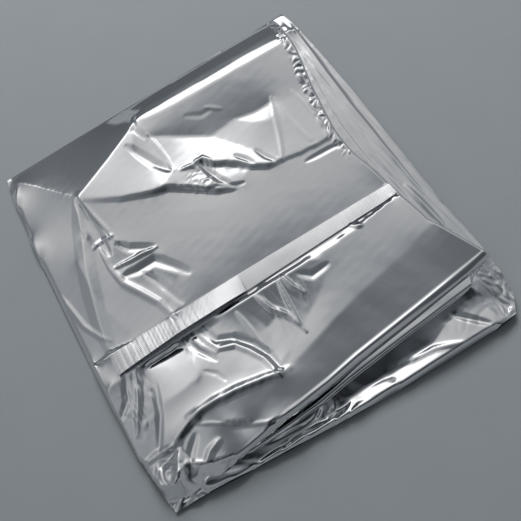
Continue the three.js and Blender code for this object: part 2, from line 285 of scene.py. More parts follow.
@dataclass(frozen=True)
class Ridge:
    """A small crease that stands up from a panel, or with a negative height, sinks into it.

    Attributes:
        points: Line of the crease as x and y.
        height: Height of its crown.
        width: Distance from the crown at which it has run out.
    """

    points: Points
    height: float
    width: float

    def raised(self, x: Array, y: Array) -> Array:
        """Give the height of the crease, a tent over its line that fades out at both ends.

        Args:
            x: Places along X.
            y: Places along Y.

        Returns:
            Heights of the same shape as x.
        """
        given = np.array(self.points, float)
        low, high = given.min(0) - self.width, given.max(0) + self.width
        close = (x > low[0]) & (x < high[0]) & (y > low[1]) & (y < high[1])
        px, py = x[close], y[close]
        ways = np.diff(given, axis=0)
        spans = np.hypot(*ways.T)
        before = np.r_[0, np.cumsum(spans)]
        best, along = np.full(px.shape, np.inf), np.zeros_like(px)
        for a, way, span, start in zip(given[:-1], ways, spans, before):
            t = np.clip(((px - a[0]) * way[0] + (py - a[1]) * way[1]) / span**2, 0, 1)
            away = np.hypot(px - a[0] - t * way[0], py - a[1] - t * way[1])
            along = np.where(away < best, (start + t * span) / before[-1], along)
            best = np.minimum(best, away)
        taper = np.sqrt(np.clip(4 * along * (1 - along), 0, 1))
        tent = np.clip(1 - best / (self.width * (0.35 + 0.65 * taper)), 0, 1)
        out = np.zeros_like(x)
        out[close] = self.height * tent * taper
        return out


@dataclass
class Relief:
    """Heights of a film over the floor, on a square grid.

    The film takes the heights whose slopes come nearest to those of its panels, with its held
    lines pulling it to their heights. Between the panels it gives way.

    Attributes:
        box: Lowest x, highest x, lowest y and highest y.
        panels: Panels, each laid over the ones before.
        holds: Lines that the film is held at.
        steps: Lines where it drops.
        ridges: Small creases added at the end.
        spacings: Grid spacings, coarse to fine, with how often each grid is improved.
        loose: How firmly film outside the panels keeps level.
        start: Height that the film starts from.
    """

    box: tuple[float, float, float, float]
    panels: dict[str, Panel]
    holds: dict[str, Hold]
    steps: dict[str, Step]
    ridges: dict[str, Ridge]
    spacings: tuple[tuple[float, int], ...] = ((4.0, 200), (2.0, 200), (1.0, 300))
    loose: float = 0.02
    start: float = 10.0

    def __post_init__(self) -> None:
        """Settle the film once for each grid spacing."""
        self.step = self.spacings[0][0]
        self.grid = np.full(self._places()[0].shape, self.start)
        for step, rounds in self.spacings:
            coarse, old = self.grid, self.step
            self.step = step
            x, y = self._places()
            self.grid = self._blend(coarse, x, y, old, smooth=False)
            self._settle(x, y, rounds)

    def _places(self) -> tuple[Array, Array]:
        """Give the x and y of every grid point."""
        spans = self.box[:2], self.box[2:]
        return np.meshgrid(*(np.arange(low, high + 0.01, self.step) for low, high in spans))

    def read(self, x: Array, y: Array) -> Array:
        """Read smooth heights anywhere: the grid under a round bell, with the creases added.

        Args:
            x: Places along X.
            y: Places along Y.

        Returns:
            Heights of the same shape as x.
        """
        z = self._blend(self.grid, x, y, self.step, smooth=True)
        for ridge in self.ridges.values():
            z = z + ridge.raised(x, y)
        return z

    def _blend(self, grid: Array, x: Array, y: Array, step: float, smooth: bool) -> Array:
        """Add up the grid points round each place by their shares along x and along y.

        Args:
            grid: Heights at the grid points.
            x: Places along X.
            y: Places along Y.
            step: Spacing of the grid.
            smooth: Whether to use 16 points under a cubic bell, or the nearest four.

        Returns:
            Heights of the same shape as x.
        """
        shares = self._bell if smooth else self._straight
        u = np.clip((x - self.box[0]) / step, 0, grid.shape[1] - 1.001)
        v = np.clip((y - self.box[2]) / step, 0, grid.shape[0] - 1.001)
        column, row = u.astype(int), v.astype(int)
        total = np.zeros_like(u)
        for down, share_y in shares(v - row):
            for over, share_x in shares(u - column):
                j = np.clip(row + down, 0, grid.shape[0] - 1)
                i = np.clip(column + over, 0, grid.shape[1] - 1)
                total += share_x * share_y * grid[j, i]
        return total

    @staticmethod
    def _straight(t: Array) -> list[tuple[int, Array]]:
        """Give the shares of the two nearest points."""
        return [(0, 1 - t), (1, t)]

    @staticmethod
    def _bell(t: Array) -> list[tuple[int, Array]]:
        """Give the shares of the four nearest points under a cubic bell.

        Args:
            t: How far a place is past its second point, as a share of the grid spacing.

        Returns:
            The offset of each point with its shares.
        """
        s = 1 - t
        middle = [(3 * a**3 - 6 * a**2 + 4) / 6 for a in (t, s)]
        return [(-1, s**3 / 6), (0, middle[0]), (1, middle[1]), (2, t**3 / 6)]

    def _nearest(self, line: Array) -> tuple[Array, Array, Array]:
        """Find the grid points nearest to the places on a line.

        Args:
            line: Places with x and y first, one to a row.

        Returns:
            Which of the places are on the grid, and the rows and columns of those.
        """
        i = np.rint((line[:, 0] - self.box[0]) / self.step).astype(int)
        j = np.rint((line[:, 1] - self.box[2]) / self.step).astype(int)
        rows, columns = self.grid.shape
        kept = (i >= 0) & (i < columns) & (j >= 0) & (j < rows)
        return kept, j[kept], i[kept]

    def _slopes(self, x: Array, y: Array) -> tuple[Array, Array]:
        """Lay the panels over each other, widen them by two grid points and cut in the steps.

        Args:
            x: Grid points along X.
            y: Grid points along Y.

        Returns:
            Slopes along X and Y, and how firmly they are kept.
        """
        slope = np.zeros((*x.shape, 2))
        firm = np.full(x.shape, self.loose)
        for panel in self.panels.values():
            inside, tilts, cover = panel.tilts(x, y)
            slope[inside] = slope[inside] * (1 - cover) + tilts * cover
            firm[inside] = 1.0
        around = [(down, over) for down in (-1, 0, 1) for over in (-1, 0, 1) if down or over]
        for _ in range(2):
            known = (firm > self.loose).astype(float)
            total, count = np.zeros_like(slope), np.zeros_like(firm)
            for way in around:
                total += np.roll(slope * known[..., None], way, (0, 1))
                count += np.roll(known, way, (0, 1))
            new = (known == 0) & (count >= 3)
            slope[new] = total[new] / count[new][:, None]
            firm[new] = 1.0
        for fall in self.steps.values():
            line = curve(fall.points, int(line_length(fall.points) / 0.4) + 2)
            along = np.gradient(line[:, :2], axis=0)
            along /= np.linalg.norm(along, axis=1, keepdims=True)
            right = np.stack([along[:, 1], -along[:, 0]], 1)
            width = max(fall.run, self.step)
            for share in np.arange(0.0, 1.0, 0.25 * self.step / width) + 0.05:
                kept, j, i = self._nearest(line[:, :2] + right * share * width)
                slope[j, i] = (-right * line[:, 2:3] / width)[kept]
                firm[j, i] = 1.0
        return slope, firm

    def _settle(self, x: Array, y: Array, rounds: int) -> None:
        """Bring the slopes of the grid to those of the panels by conjugate gradients.

        Args:
            x: Grid points along X.
            y: Grid points along Y.
            rounds: Number of rounds.
        """
        slope, firm = self._slopes(x, y)
        over_x = np.minimum(firm[:, 1:], firm[:, :-1])
        over_y = np.minimum(firm[1:], firm[:-1])
        goal_x = (slope[:, 1:, 0] + slope[:, :-1, 0]) / 2 * self.step
        goal_y = (slope[1:, :, 1] + slope[:-1, :, 1]) / 2 * self.step
        pull, goal = np.zeros_like(x), np.zeros_like(x)
        for hold in self.holds.values():
            line = curve(hold.points, int(line_length(hold.points) / self.step) + 2)
            kept, j, i = self._nearest(line)
            np.add.at(pull, (j, i), hold.firm * self.step)
            np.add.at(goal, (j, i), hold.firm * self.step * line[kept, 2])

        def force(z: Array, ends: float) -> Array:
            """Give the force on each grid point from its unlike slopes and its held lines.

            Args:
                z: Heights of the grid points.
                ends: 1 to count the goals in, or 0 to leave them out.

            Returns:
                Forces of the same shape as z.
            """
            out = pull * z - ends * goal
            dx = over_x * (z[:, 1:] - z[:, :-1] - ends * goal_x)
            dy = over_y * (z[1:] - z[:-1] - ends * goal_y)
            out[:, 1:] += dx
            out[:, :-1] -= dx
            out[1:] += dy
            out[:-1] -= dy
            return out

        own = pull + 1e-9
        own[:, 1:] += over_x
        own[:, :-1] += over_x
        own[1:] += over_y
        own[:-1] += over_y
        left = -force(self.grid, 1.0)
        eased = left / own
        way, reach = eased.copy(), float((left * eased).sum())
        for _ in range(rounds):
            back = force(way, 0.0)
            length = reach / max(float((way * back).sum()), 1e-12)
            self.grid += length * way
            left -= length * back
            eased = left / own
            new = float((left * eased).sum())
            way, reach = eased + (new / max(reach, 1e-12)) * way, new


# Panels of the upper film. Mirrored heights of 27 to 45 degrees show the bright side of the room,
# about 60 its plain wall, and above 70 or below 25 its dark parts.
UPPER_PANELS: dict[str, Panel] = {
    # Far side
    "far_facet": Panel([
        (-73, 76.5, 15), (-15.5, 108, 12), (-12, 113, 12), (-22, 131, 14), (-108, 131, 19),
        (-104, 121, 22)
    ], turn=-4),
    "left_slope": Panel([
        (-73, 76.5, 56), (-104, 121, 56), (-112, 104, 56), (-113, 60, 54), (-113, -20, 52),
        (-100, -20, 54), (-97, -5, 54), (-93, 15, 54), (-88, 34, 54), (-83, 50, 54), (-79, 64, 54)
    ], turn=-40),
    "left_band": Panel([
        (-73, 76.5, 48), (-79, 64, 50), (-84, 50, 52), (-88, 34, 56), (-94, 36, 56), (-89, 56, 52),
        (-80, 71, 48)
    ], turn=-14, fade=6.0),
    "left_dark": Panel([
        (-73, 76.5, 70), (-77, 60, 71), (-79, 44, 70), (-67.5, 44, 71), (-70, 60, 72)
    ], turn=6),
    "left_low": Panel([
        (-79, 44, 66), (-83, 50, 68), (-88, 34, 70), (-93, 15, 70), (-97, -5, 69), (-99, -20, 66),
        (-85, -23.5, 64), (-70, -23.5, 58), (-58, -23.5, 60), (-60, -12, 60), (-66, -2, 62),
        (-72, 6, 66), (-76, 14, 68), (-76, 24, 68), (-78, 34, 68)
    ], turn=-8),
    "left_head": Panel([
        (-78, 39, 66), (-66, 39, 62), (-65, 34, 60), (-70, 34, 58), (-72, 24, 56), (-76, 24, 62)
    ], turn=-10),
    "bright_one": Panel([
        (-73, 76.5, 36), (-60, 83, 33), (-45, 90, 32), (-30, 97.5, 32), (-19.5, 102.5, 34),
        (-27, 89.5, 34), (-24.5, 80.5, 36), (-20, 69.5, 38), (-14, 61, 38), (-20, 52, 36),
        (-30, 54, 38), (-39.5, 58, 40), (-49.5, 62.5, 39), (-60, 69, 37)
    ]),
    "gully_side": Panel([
        (-27, 89.5, 72), (-19.5, 102.5, 73), (-16, 92, 69), (-14, 82, 66), (-12.5, 72, 64),
        (-14, 61, 60), (-20, 69.5, 71), (-24.5, 80.5, 72)
    ]),
    "peak_shade": Panel([(-15.5, 108, 72), (-21, 101, 72), (-16, 92, 72), (-14.7, 99, 71)]),
    "bright_two": Panel([
        (-14, 90.5, 32), (-6, 85.5, 34), (2.5, 79.5, 36), (11, 74, 37), (20, 67.5, 37),
        (26.5, 58.5, 38), (33.5, 49, 38), (39, 42.5, 38), (44.5, 33.5, 40), (48, 27, 40),
        (39, 28.5, 38), (30, 34.5, 38), (26, 40, 38), (19, 45.5, 38), (11, 50.5, 38), (7.5, 56, 40),
        (0, 58, 44), (-8, 59, 44), (-12, 62, 40), (-11, 72, 36)
    ]),
    "bright_side": Panel([
        (20, 67.5, 58), (38.5, 69.5, 60), (46, 61, 54), (55, 55, 60), (56, 45, 64), (52, 33.5, 62),
        (49, 27, 56), (44.5, 33.5, 50), (33.5, 49, 48), (26.5, 58.5, 50)
    ]),
    "bright_three": Panel([
        (38.5, 69.5, 40), (46.5, 66.5, 38), (56.5, 65, 36), (64.5, 66.5, 36), (60.5, 58.5, 40),
        (55, 55, 44), (47, 60, 42)
    ]),
    "right_leaf": Panel([
        (64.5, 66.5, 66), (67.5, 60, 64), (66, 50, 64), (68, 37.5, 64), (70, 26, 62), (49, 26.5, 62),
        (52.5, 33.5, 64), (56.5, 43.5, 65), (60.5, 55.5, 66)
    ]),
    "right_shade": Panel([
        (68, 62, 71), (80, 61, 70), (81, 50, 68), (81.5, 38, 66), (86, 24, 62), (70, 26, 66),
        (68, 37.5, 70), (66, 50, 71)
    ]),
    "right_end": Panel([
        (80, 61, 70), (92, 63, 68), (89, 42, 66), (86.5, 25, 62), (81.5, 38, 64), (81, 50, 66)
    ]),
    "upper_panel": Panel([
        (-14, 90.5, 64), (-14.5, 98, 58), (-12, 103, 56), (0, 101.5, 60), (20, 100, 64), (60, 99, 68),
        (99, 98, 69), (98.5, 93, 72), (94, 66, 75), (80, 62, 75), (68, 64, 75), (64.5, 66.5, 76),
        (56.5, 66, 77), (46.5, 67.5, 77), (38.5, 69.5, 77), (20, 67.5, 77), (11, 74, 75),
        (2.5, 79.5, 74), (-6, 85.5, 70)
    ]),
    "far_band": Panel([
        (-15.5, 108, 36), (-8, 104, 40), (2, 101.5, 44), (20, 100.3, 47), (60, 99.8, 48),
        (99, 99.5, 49), (99, 104.5, 34), (60, 105.3, 34), (20, 106, 34), (0, 106.8, 34)
    ]),
    "far_brow": Panel([
        (-15.5, 108, 25), (0, 107, 25), (20, 106.2, 25), (60, 105.6, 25), (99, 104.8, 25),
        (99, 110.5, 22), (60, 111, 22), (20, 111.5, 22), (-12, 112.5, 20)
    ]),
    "far_roll": Panel([
        (-12, 112.5, 10), (20, 111.5, 10), (60, 111, 10), (99, 110.5, 10), (99, 120, 6), (20, 121, 6),
        (-20, 122, 8)
    ]),
    # Plain middle and the crumple by the inner ridge
    "middle": Panel([
        (-71, 74.5, 60), (-60, 66.8, 58), (-49.5, 60.3, 57), (-39.5, 55.9, 57), (-30, 51.9, 57),
        (-20, 49.4, 57), (-11, 42.9, 58), (-2.5, 35.9, 58), (4, 30.4, 59), (12, 26.4, 59),
        (20, 25.6, 60), (29.6, 32.4, 60), (39, 26.4, 61), (49, 24.9, 62), (60, 22.9, 64),
        (72, 21.9, 66), (86, 20.9, 69), (88, 5, 71), (91, -10, 73), (92, -23.5, 75), (60, -23.5, 74),
        (40, -23.5, 73), (20, -23.5, 72), (0, -23.5, 71), (-30, -23.5, 69), (-54, -23.5, 67),
        (-53, -11, 65), (-38, -3, 62), (-46, 17, 60), (-53, 25, 59), (-65, 34, 59), (-67, 43, 59)
    ], turn=8),
    "inner_leaf": Panel([
        (-70, 33, 68), (-65, 36, 71), (-58, 31, 72), (-50, 25, 72), (-46, 18.5, 71), (-54, 20.5, 71),
        (-62, 21.5, 70), (-71, 22, 62)
    ], turn=14),
    "inner_shade": Panel([
        (-70, 15, 71), (-60, 16, 73), (-50, 15, 72), (-42, 3, 72), (-36, -6, 70), (-43, -4, 70),
        (-50, 7, 68), (-56, 10, 71), (-55.5, -4, 72), (-51, -16, 70), (-56, -16, 71), (-60, -4, 71),
        (-66, 6, 71)
    ], turn=14),
    "inner_ridge": Panel([
        (-75.5, 26, 46), (-75, 14, 40), (-71, 6, 38), (-65, -3, 38), (-60, -13, 38), (-58, -23.5, 38),
        (-54.5, -23.5, 40), (-57.5, -11, 42), (-62.5, -1, 42), (-68, 8, 42), (-71.5, 14, 44),
        (-72, 24, 50)
    ]),
    # Below the seam
    "left_fan": Panel([
        (-111, -42, 60), (-86, -43, 64), (-86, -56, 62), (-88, -68, 60), (-94, -80, 58),
        (-100, -89, 56), (-110, -88, 60)
    ], turn=-16),
    "plate": Panel([
        (-84, -43, 32), (-62, -43, 29), (-60, -55, 28), (-61, -66, 32), (-72, -67.5, 36),
        (-86, -68, 40), (-85, -55, 34)
    ]),
    "plate_back": Panel([
        (-86, -68, 52), (-72, -67.5, 56), (-61, -66, 60), (-48, -62, 62), (-44, -72, 60),
        (-30, -78, 50), (-21.5, -88, 32), (-31.5, -87, 32), (-45, -84.5, 31), (-60, -83, 31),
        (-72, -83, 34), (-90, -89, 38), (-100, -90, 42)
    ]),
    "plate_right": Panel([
        (-57, -44, 46), (-48.5, -43, 40), (-47, -48.5, 36), (-44.5, -56.5, 34), (-38, -59, 33),
        (-31, -63, 33), (-28, -68.5, 34), (-23.5, -76.5, 34), (-21, -87, 34), (-30, -79, 46),
        (-44, -72, 58), (-48, -62, 56), (-53, -54, 50)
    ]),
    "hollow": Panel([
        (-48, -42, 80), (-31, -42, 82), (4, -42, 80), (30, -42, 74), (34, -48, 70), (28, -55, 71),
        (16, -64, 72), (4, -72, 71), (-8, -80, 70), (-18.5, -88, 74), (-20, -78, 80), (-27, -66, 82),
        (-30, -60, 82), (-44, -54, 78)
    ]),
    "hollow_glint": Panel([
        (-46, -43, 50), (-34, -43.5, 58), (-31, -56, 46), (-36, -58, 40), (-43.5, -55, 42)
    ]),
    "hollow_light": Panel([
        (-20, -86, 58), (-15, -74, 60), (-15, -63, 64), (-8, -60, 66), (0, -66, 64), (2, -73.5, 62),
        (-8, -79.5, 60)
    ]),
    "soft_band": Panel([
        (34, -43, 67), (60, -41, 65), (92, -36, 65), (97, -52, 67), (98, -60, 70), (80, -66, 71),
        (60, -70, 71), (40, -74, 70), (20, -79, 68), (0, -84.5, 63), (-17, -89, 56), (0, -77, 58),
        (10, -70, 58), (20, -64, 60), (30, -56, 62)
    ]),
    "near_flat": Panel([
        (-20.5, -90.5, 62), (0, -86, 73), (20, -80.5, 80), (40, -75.5, 79), (60, -71.5, 78),
        (80, -67.5, 77), (98, -61.5, 76), (114.5, -92, 80), (60, -99.5, 80), (20, -104.3, 80),
        (0, -107.6, 78), (-20, -109.6, 64), (-40, -107, 57), (-70, -88, 56), (-60, -86, 58),
        (-45, -87.5, 60), (-31, -90, 60)
    ]),
    "corner_patch": Panel([
        (-110, -93, 34), (-97, -92, 32), (-91, -97, 32), (-94, -106, 34), (-100, -110, 36),
        (-107, -106, 38)
    ]),
    "bight_side": Panel([
        (-75, -88, 60), (-66, -93.5, 56), (-58, -100, 54), (-50, -105, 52), (-38, -109.5, 50),
        (-50, -112, 50), (-66, -112, 52), (-80, -108, 54), (-88, -100, 56), (-84, -92, 60)
    ]),
}

UPPER_HOLDS: dict[str, Hold] = {
    "far_rim": Hold([
        (-111, 128.5, 0.8), (-60, 128.5, 1), (20, 128, 1.2), (60, 128.5, 1.2), (101, 129, 0.8)
    ], 2.0),
    "far_ridge": Hold([
        (-73, 76.5, 16.8), (-45, 90, 16), (-15.5, 108, 15.2), (20, 106, 14.4), (99, 104.5, 13.2)
    ], 0.08),
    "left_rim": Hold([
        (-111, 128.5, 0.8), (-113.5, 115, 0.8), (-115, 60, 1), (-115, -40, 1), (-113.5, -88, 1),
        (-109, -118, 1)
    ], 2.0),
    "left_shoulder": Hold([
        (-109, 112, 5.6), (-111, 90, 7), (-112, 60, 7.8), (-112.5, 23.5, 8.2), (-112.5, -42.5, 8),
        (-110.5, -82, 7)
    ], 0.15),
    "middle": Hold([(-40, 40, 13.2), (0, 20, 12.6), (60, -5, 11.8)], 0.08),
    "seam_root": Hold([
        (-105, -24.6, 11), (-60, -24.6, 11.6), (20, -24.6, 11.5), (92, -24.6, 11.3)
    ], 0.15),
    "seam_edge": Hold([(-108, -42, 10.4), (-40, -39.5, 11.8), (40, -37, 11.9), (92, -35, 11.9)], 0.3),
    "near_peak": Hold([(-22, -89.5, 19.4), (-19, -90, 19.4)], 0.5),
    "near_fold": Hold([
        (-109, -116, 1.4), (-100, -117.5, 2.6), (-88, -117.5, 4.6), (-80, -116.3, 8.6),
        (-65, -114.4, 12), (-50, -112.8, 14.4), (-35, -111.3, 15.6)
    ], 0.3),
    "near_fold_right": Hold([
        (-20, -109.7, 15.8), (0, -107, 14.6), (20, -103.3, 14), (60, -98.4, 13.4), (100, -93, 13.1)
    ], 0.2),
    "near_crest": Hold([
        (-72, -83.5, 16.6), (-60, -83.5, 17.2), (-45, -85, 17.6), (-31.5, -87.5, 18.4)
    ], 0.1),
    "left_plateau": Hold([(-92, 40, 12.8), (-92, 10, 12.2), (-85, -18, 11.8)], 0.1),
    "fan": Hold([(-100, -50, 10.6), (-100, -75, 10.8)], 0.1),
}

UPPER_STEPS: dict[str, Step] = {
    "crest_left": Step([
        (-72, 75.5, 0), (-60, 67.5, 0.25), (-49.5, 61, 0.5), (-39.5, 56.5, 0.8), (-30, 52.5, 1.2),
        (-20, 50, 1.5), (-11, 43.5, 1.8), (-2.5, 36.5, 1.8), (4, 31, 1.4), (12, 27, 1), (19, 26, 0.2)
    ], 1.6),
    "crest_right": Step([
        (7.5, 54.5, 0.8), (11, 48.5, 1.2), (19, 44, 1.4), (26, 38, 1.4), (30, 33, 1.2), (39, 27, 0.7),
        (49, 25.5, 0.4), (60, 23.5, 0.4), (72, 22.5, 0.4), (86, 21.5, 0.4)
    ], 1.4),
    "near_crest": Step([
        (-72, -84, 0.2), (-60, -84, 0.4), (-45, -85.5, 0.4), (-31.5, -88, 0.3), (-21.5, -90, 0.2)
    ]),
}

UPPER_RIDGES: dict[str, Ridge] = {
    "peak_rib": Ridge([(-15.5, 108), (-15, 99), (-14, 90.5)], 0.5, 2.2),
    "right_pleat": Ridge([(58.5, 16), (66.5, 15.5), (76.5, 15), (86, 13.5)], -0.6, 2.4),
    "left_scar": Ridge([(-112, 30), (-110, 18), (-107, 2), (-101, -10.5), (-95, -18)], 0.5, 2.4),
    "near_fold_bead": Ridge([
        (-84, -116.4), (-50, -113), (-20, -109.8), (0, -107.1), (20, -103.4), (60, -98.5),
        (100, -93.1), (120, -90.4)
    ], 0.8, 1.9),
    "left_trough": Ridge([(-73.5, 78), (-73.5, 62), (-72.5, 46), (-72, 30)], -1.50, 4.2),
    "left_edge": Ridge([(-72, 79), (-69.5, 62), (-66, 46), (-64, 30)], 0.77, 1.8),
    "left_bead": Ridge([(-80, 41), (-72, 43), (-64, 41)], 0.8, 2.4),
    "left_fold": Ridge([(-70, 82), (-79, 62), (-85, 44), (-92, 20), (-97, -2), (-99, -24)], 0.5, 7.0),
    "inner_ridge": Ridge([
        (-76, 40), (-75.5, 22), (-73, 10), (-66, -2), (-60, -13), (-55, -30)
    ], 1.35, 3.4),
    "inner_valley": Ridge([(-66, 36), (-60, 28), (-52, 23), (-45, 19)], -0.96, 3.4),
    "inner_spur": Ridge([(-74, 22), (-64, 20.5), (-54, 20), (-44, 19)], 1.12, 2.4),
    "inner_hollow": Ridge([(-72, 14), (-62, 12), (-50, 12), (-42, 2), (-35, -8)], -1.19, 4.0),
    "inner_tail": Ridge([(-60, 10), (-55, 0), (-51, -12), (-48, -22)], -0.80, 3.0),
    "gully": Ridge([(-30, 94), (-25, 82), (-20, 70), (-13, 58)], -0.9, 4.2),
    "gully_brow": Ridge([(-14.5, 94), (-12.5, 80), (-11.5, 68), (-12, 56)], 0.5, 2.4),
    "peak_shade": Ridge([(-15, 112), (-20, 101), (-17, 90)], -0.5, 2.6),
    "right_crease": Ridge([(66, 70), (60.5, 55.5), (56.5, 43.5), (52.5, 33.5), (48, 24)], 0.5, 2.2),
    "right_rib": Ridge([(67, 68), (66.5, 50), (68, 37.5), (70.5, 24)], 0.4, 3.0),
    "right_dart": Ridge([(79, 66), (81, 50), (81.5, 38), (80, 30)], 0.5, 2.2),
    "upper_dent_one": Ridge([(12, 90), (22, 84), (30, 84)], -0.14, 3.0),
    "upper_dent_two": Ridge([(26, 88), (31, 84), (36, 80)], 0.12, 2.2),
    "crest_notch_one": Ridge([(25, 46), (30, 38), (33, 32)], -0.7, 2.2),
    "crest_notch_two": Ridge([(38, 42), (41, 33), (45, 26)], -0.7, 2.4),
    "crumple_fold": Ridge([(-9, 56), (0, 54.5), (8, 56), (12, 50)], 0.8, 2.4),
    "crumple_cleft": Ridge([(4, 56), (6, 46), (9, 36), (15, 27)], -1.1, 3.0),
    "crumple_hook": Ridge([(-2, 34), (6, 32), (12, 28), (22, 25)], -0.8, 2.6),
    "pleat_one": Ridge([(-84, -42), (-85, -56), (-90, -72), (-100, -90)], -0.6, 3.0),
    "pleat_two": Ridge([(-90, -40), (-96, -56), (-108, -76)], 0.7, 3.0),
    "pleat_three": Ridge([(-97, -40), (-103, -54), (-112, -62)], -0.7, 3.2),
    "plate_pleat_one": Ridge([(-58, -40), (-54, -52), (-47, -64)], -0.91, 2.4),
    "plate_pleat_two": Ridge([(-54, -40), (-51, -50), (-45, -60)], 0.6, 2.2),
    "plate_pleat_three": Ridge([(-57, -64), (-51, -70), (-48, -77)], -0.4, 2.0),
    "rib": Ridge([
        (-50, -40), (-47, -50), (-43, -57.5), (-34, -61), (-29, -68), (-24, -77), (-20.5, -93)
    ], 0.91, 2.6),
    "rib_foot": Ridge([
        (-45, -40), (-42, -52), (-32, -57), (-25, -66), (-20, -77), (-18, -90)
    ], -1.20, 3.0),
    "hollow_one": Ridge([(-24, -44), (-22, -58), (-20, -76)], 0.8, 2.0),
    "hollow_two": Ridge([(-10, -42), (-6, -54), (0, -62), (3, -72)], 1.2, 2.4),
    "hollow_three": Ridge([(6, -40), (4, -56), (3, -70), (4, -78)], 1.2, 2.0),
    "hollow_four": Ridge([(9, -40), (11, -49), (15, -57)], 1.2, 2.2),
    "hollow_five": Ridge([(17, -44), (24, -50), (36, -49)], -0.8, 3.0),
    "seam_bubble": Ridge([(58, -34.5), (61, -37.5), (65, -40)], 1.0, 2.2),
    "corner_one": Ridge([(-114, -91), (-100, -90), (-89, -92)], 0.9, 3.0),
    "corner_two": Ridge([(-104, -97), (-97, -96), (-90, -94)], -1.0, 4.0),
    "corner_three": Ridge([(-88, -94), (-93, -102), (-100, -112)], 1.0, 3.4),
    "corner_four": Ridge([(-96, -106), (-88, -104), (-82, -108), (-90, -113)], 0.8, 2.6),
    "corner_five": Ridge([(-82, -112), (-74, -105), (-66, -102)], 0.9, 3.2),
    "left_scallop": Ridge([(-76, -92), (-84, -100), (-90, -110)], -0.75, 3.4),
    "crest_bead": Ridge([
        (-78, -82), (-72, -83), (-60, -83.2), (-45, -84.8), (-31.5, -87.2), (-20, -89.8), (-12, -89.6)
    ], 0.8, 4.0),
    "bight_bead": Ridge([
        (-76, -87), (-66.5, -92.5), (-58, -99), (-50, -104), (-39.5, -109), (-28, -111)
    ], 0.64, 1.8),
}

# Panels and held lines of the lower film, which shows along the near side and beyond the mouth
LOWER_PANELS: dict[str, Panel] = {
    "near_dark": Panel([
        (-85, -117, 118), (-20, -114, 130), (0, -112, 140), (50, -107, 140), (94, -102, 140),
        (94, -107.5, 140), (80, -110.5, 140), (70, -112, 140), (60, -117, 140), (48, -117.5, 140),
        (40, -119.5, 140), (20, -118.5, 140), (4, -119, 140), (-20, -118.5, 118), (-85, -121, 110)
    ]),
    "near_bright": Panel([
        (4, -119, 38), (20, -118.5, 36), (40, -119.5, 36), (48, -117.5, 36), (60, -117, 36),
        (70, -112, 36), (80, -110.5, 38), (94, -107.5, 38), (105, -124, 36), (93, -127.6, 33),
        (62, -128, 32), (30, -127.2, 32), (8, -126, 34)
    ]),
    "end_strip": Panel([
        (99, -100, 68), (113, -90, 68), (112, -45, 71), (112, 48, 75), (108, 110, 76), (101, 112, 76),
        (96, 60, 75), (90, 0, 74), (96, -50, 71)
    ]),
}

LOWER_HOLDS: dict[str, Hold] = {
    "near_rim": Hold([
        (-108, -121, 2.6), (-86, -121.5, 3.4), (-60, -123.3, 4.4), (-30, -125.2, 5.8), (0, -125, 5.4),
        (30, -126, 6.4), (62, -126.6, 7.4), (93, -126.4, 7.4), (106, -125, 4)
    ], 0.2),
    "near_channel": Hold([
        (-60, -118, 3.4), (0, -119, 3.8), (30, -119, 4.2), (60, -117, 5), (90, -108, 6)
    ], 0.1),
    "near_back": Hold([(-60, -112, 5.6), (0, -110, 7), (50, -106, 8), (95, -101, 8)], 0.3),
    "end_inner": Hold([
        (96, -112, 6), (99, -100, 6.6), (103, -85, 6), (101, -60, 6.2), (96, -30, 6.4), (92, 0, 6.6),
        (92, 30, 6.6), (96, 60, 6.4), (101, 90, 5.6), (103, 118, 3.4)
    ], 0.2),
    "end_rim": Hold([
        (111.5, -118, 2.6), (113, -106, 3), (114, -92, 3.2), (113.5, -75, 3), (112.2, -45, 3),
        (112, 5, 3), (112, 48, 2.8), (110.6, 89, 2.4), (109, 115, 1.8)
    ], 0.5),
    "left_rim": Hold([(-108, -121, 2), (-113, -42, 0.6), (-113, 60, 0.6), (-108, 127, 0.6)], 1.0),
    "left_bed": Hold([(-90, -100, 4), (-90, 0, 4), (-90, 100, 2)], 0.3),
    "middle_bed": Hold([(0, -80, 6), (0, 0, 6), (0, 90, 5)], 0.3),
    "far_bed": Hold([(-100, 122, 1.4), (0, 120, 2.6), (90, 122, 2.4)], 0.3),
    "far_rim": Hold([
        (-108, 127, 0.6), (0, 127, 0.8), (60, 128.4, 0.8), (94, 128.8, 1), (108, 129, 1)
    ], 1.0),
}

LOWER_STEPS: dict[str, Step] = {
    "near_side": Step([
        (-86, -120.4, 2), (-60, -122.2, 3), (-30, -124.2, 4), (0, -126.2, 4.6), (30, -127.4, 5.4),
        (62, -128, 6), (93, -127.6, 5.4)
    ], 2.0),
}

LOWER_RIDGES: dict[str, Ridge] = {
    "end_fold": Ridge([(108, 118), (106.5, 80), (105.5, 40), (106, 0), (107, -40)], 0.98, 2.2),
    "mouth_shadow": Ridge([
        (101, -60), (98.5, -30), (94.5, 0), (94, 28), (97, 60), (101, 84), (104, 112)
    ], -0.5, 3.0),
    "mouth_glint": Ridge([(101, -28), (103, -45), (105, -68)], 0.8, 2.4),
    "near_tuck_one": Ridge([(-8, -124), (-14, -119), (-10, -115)], 0.8, 3.0),
    "near_tuck_two": Ridge([(76, -109), (84, -118), (92, -127)], -0.9, 2.6),
    "near_tuck_three": Ridge([(36, -118), (58, -120.5), (74, -127)], 0.7, 2.6),
}


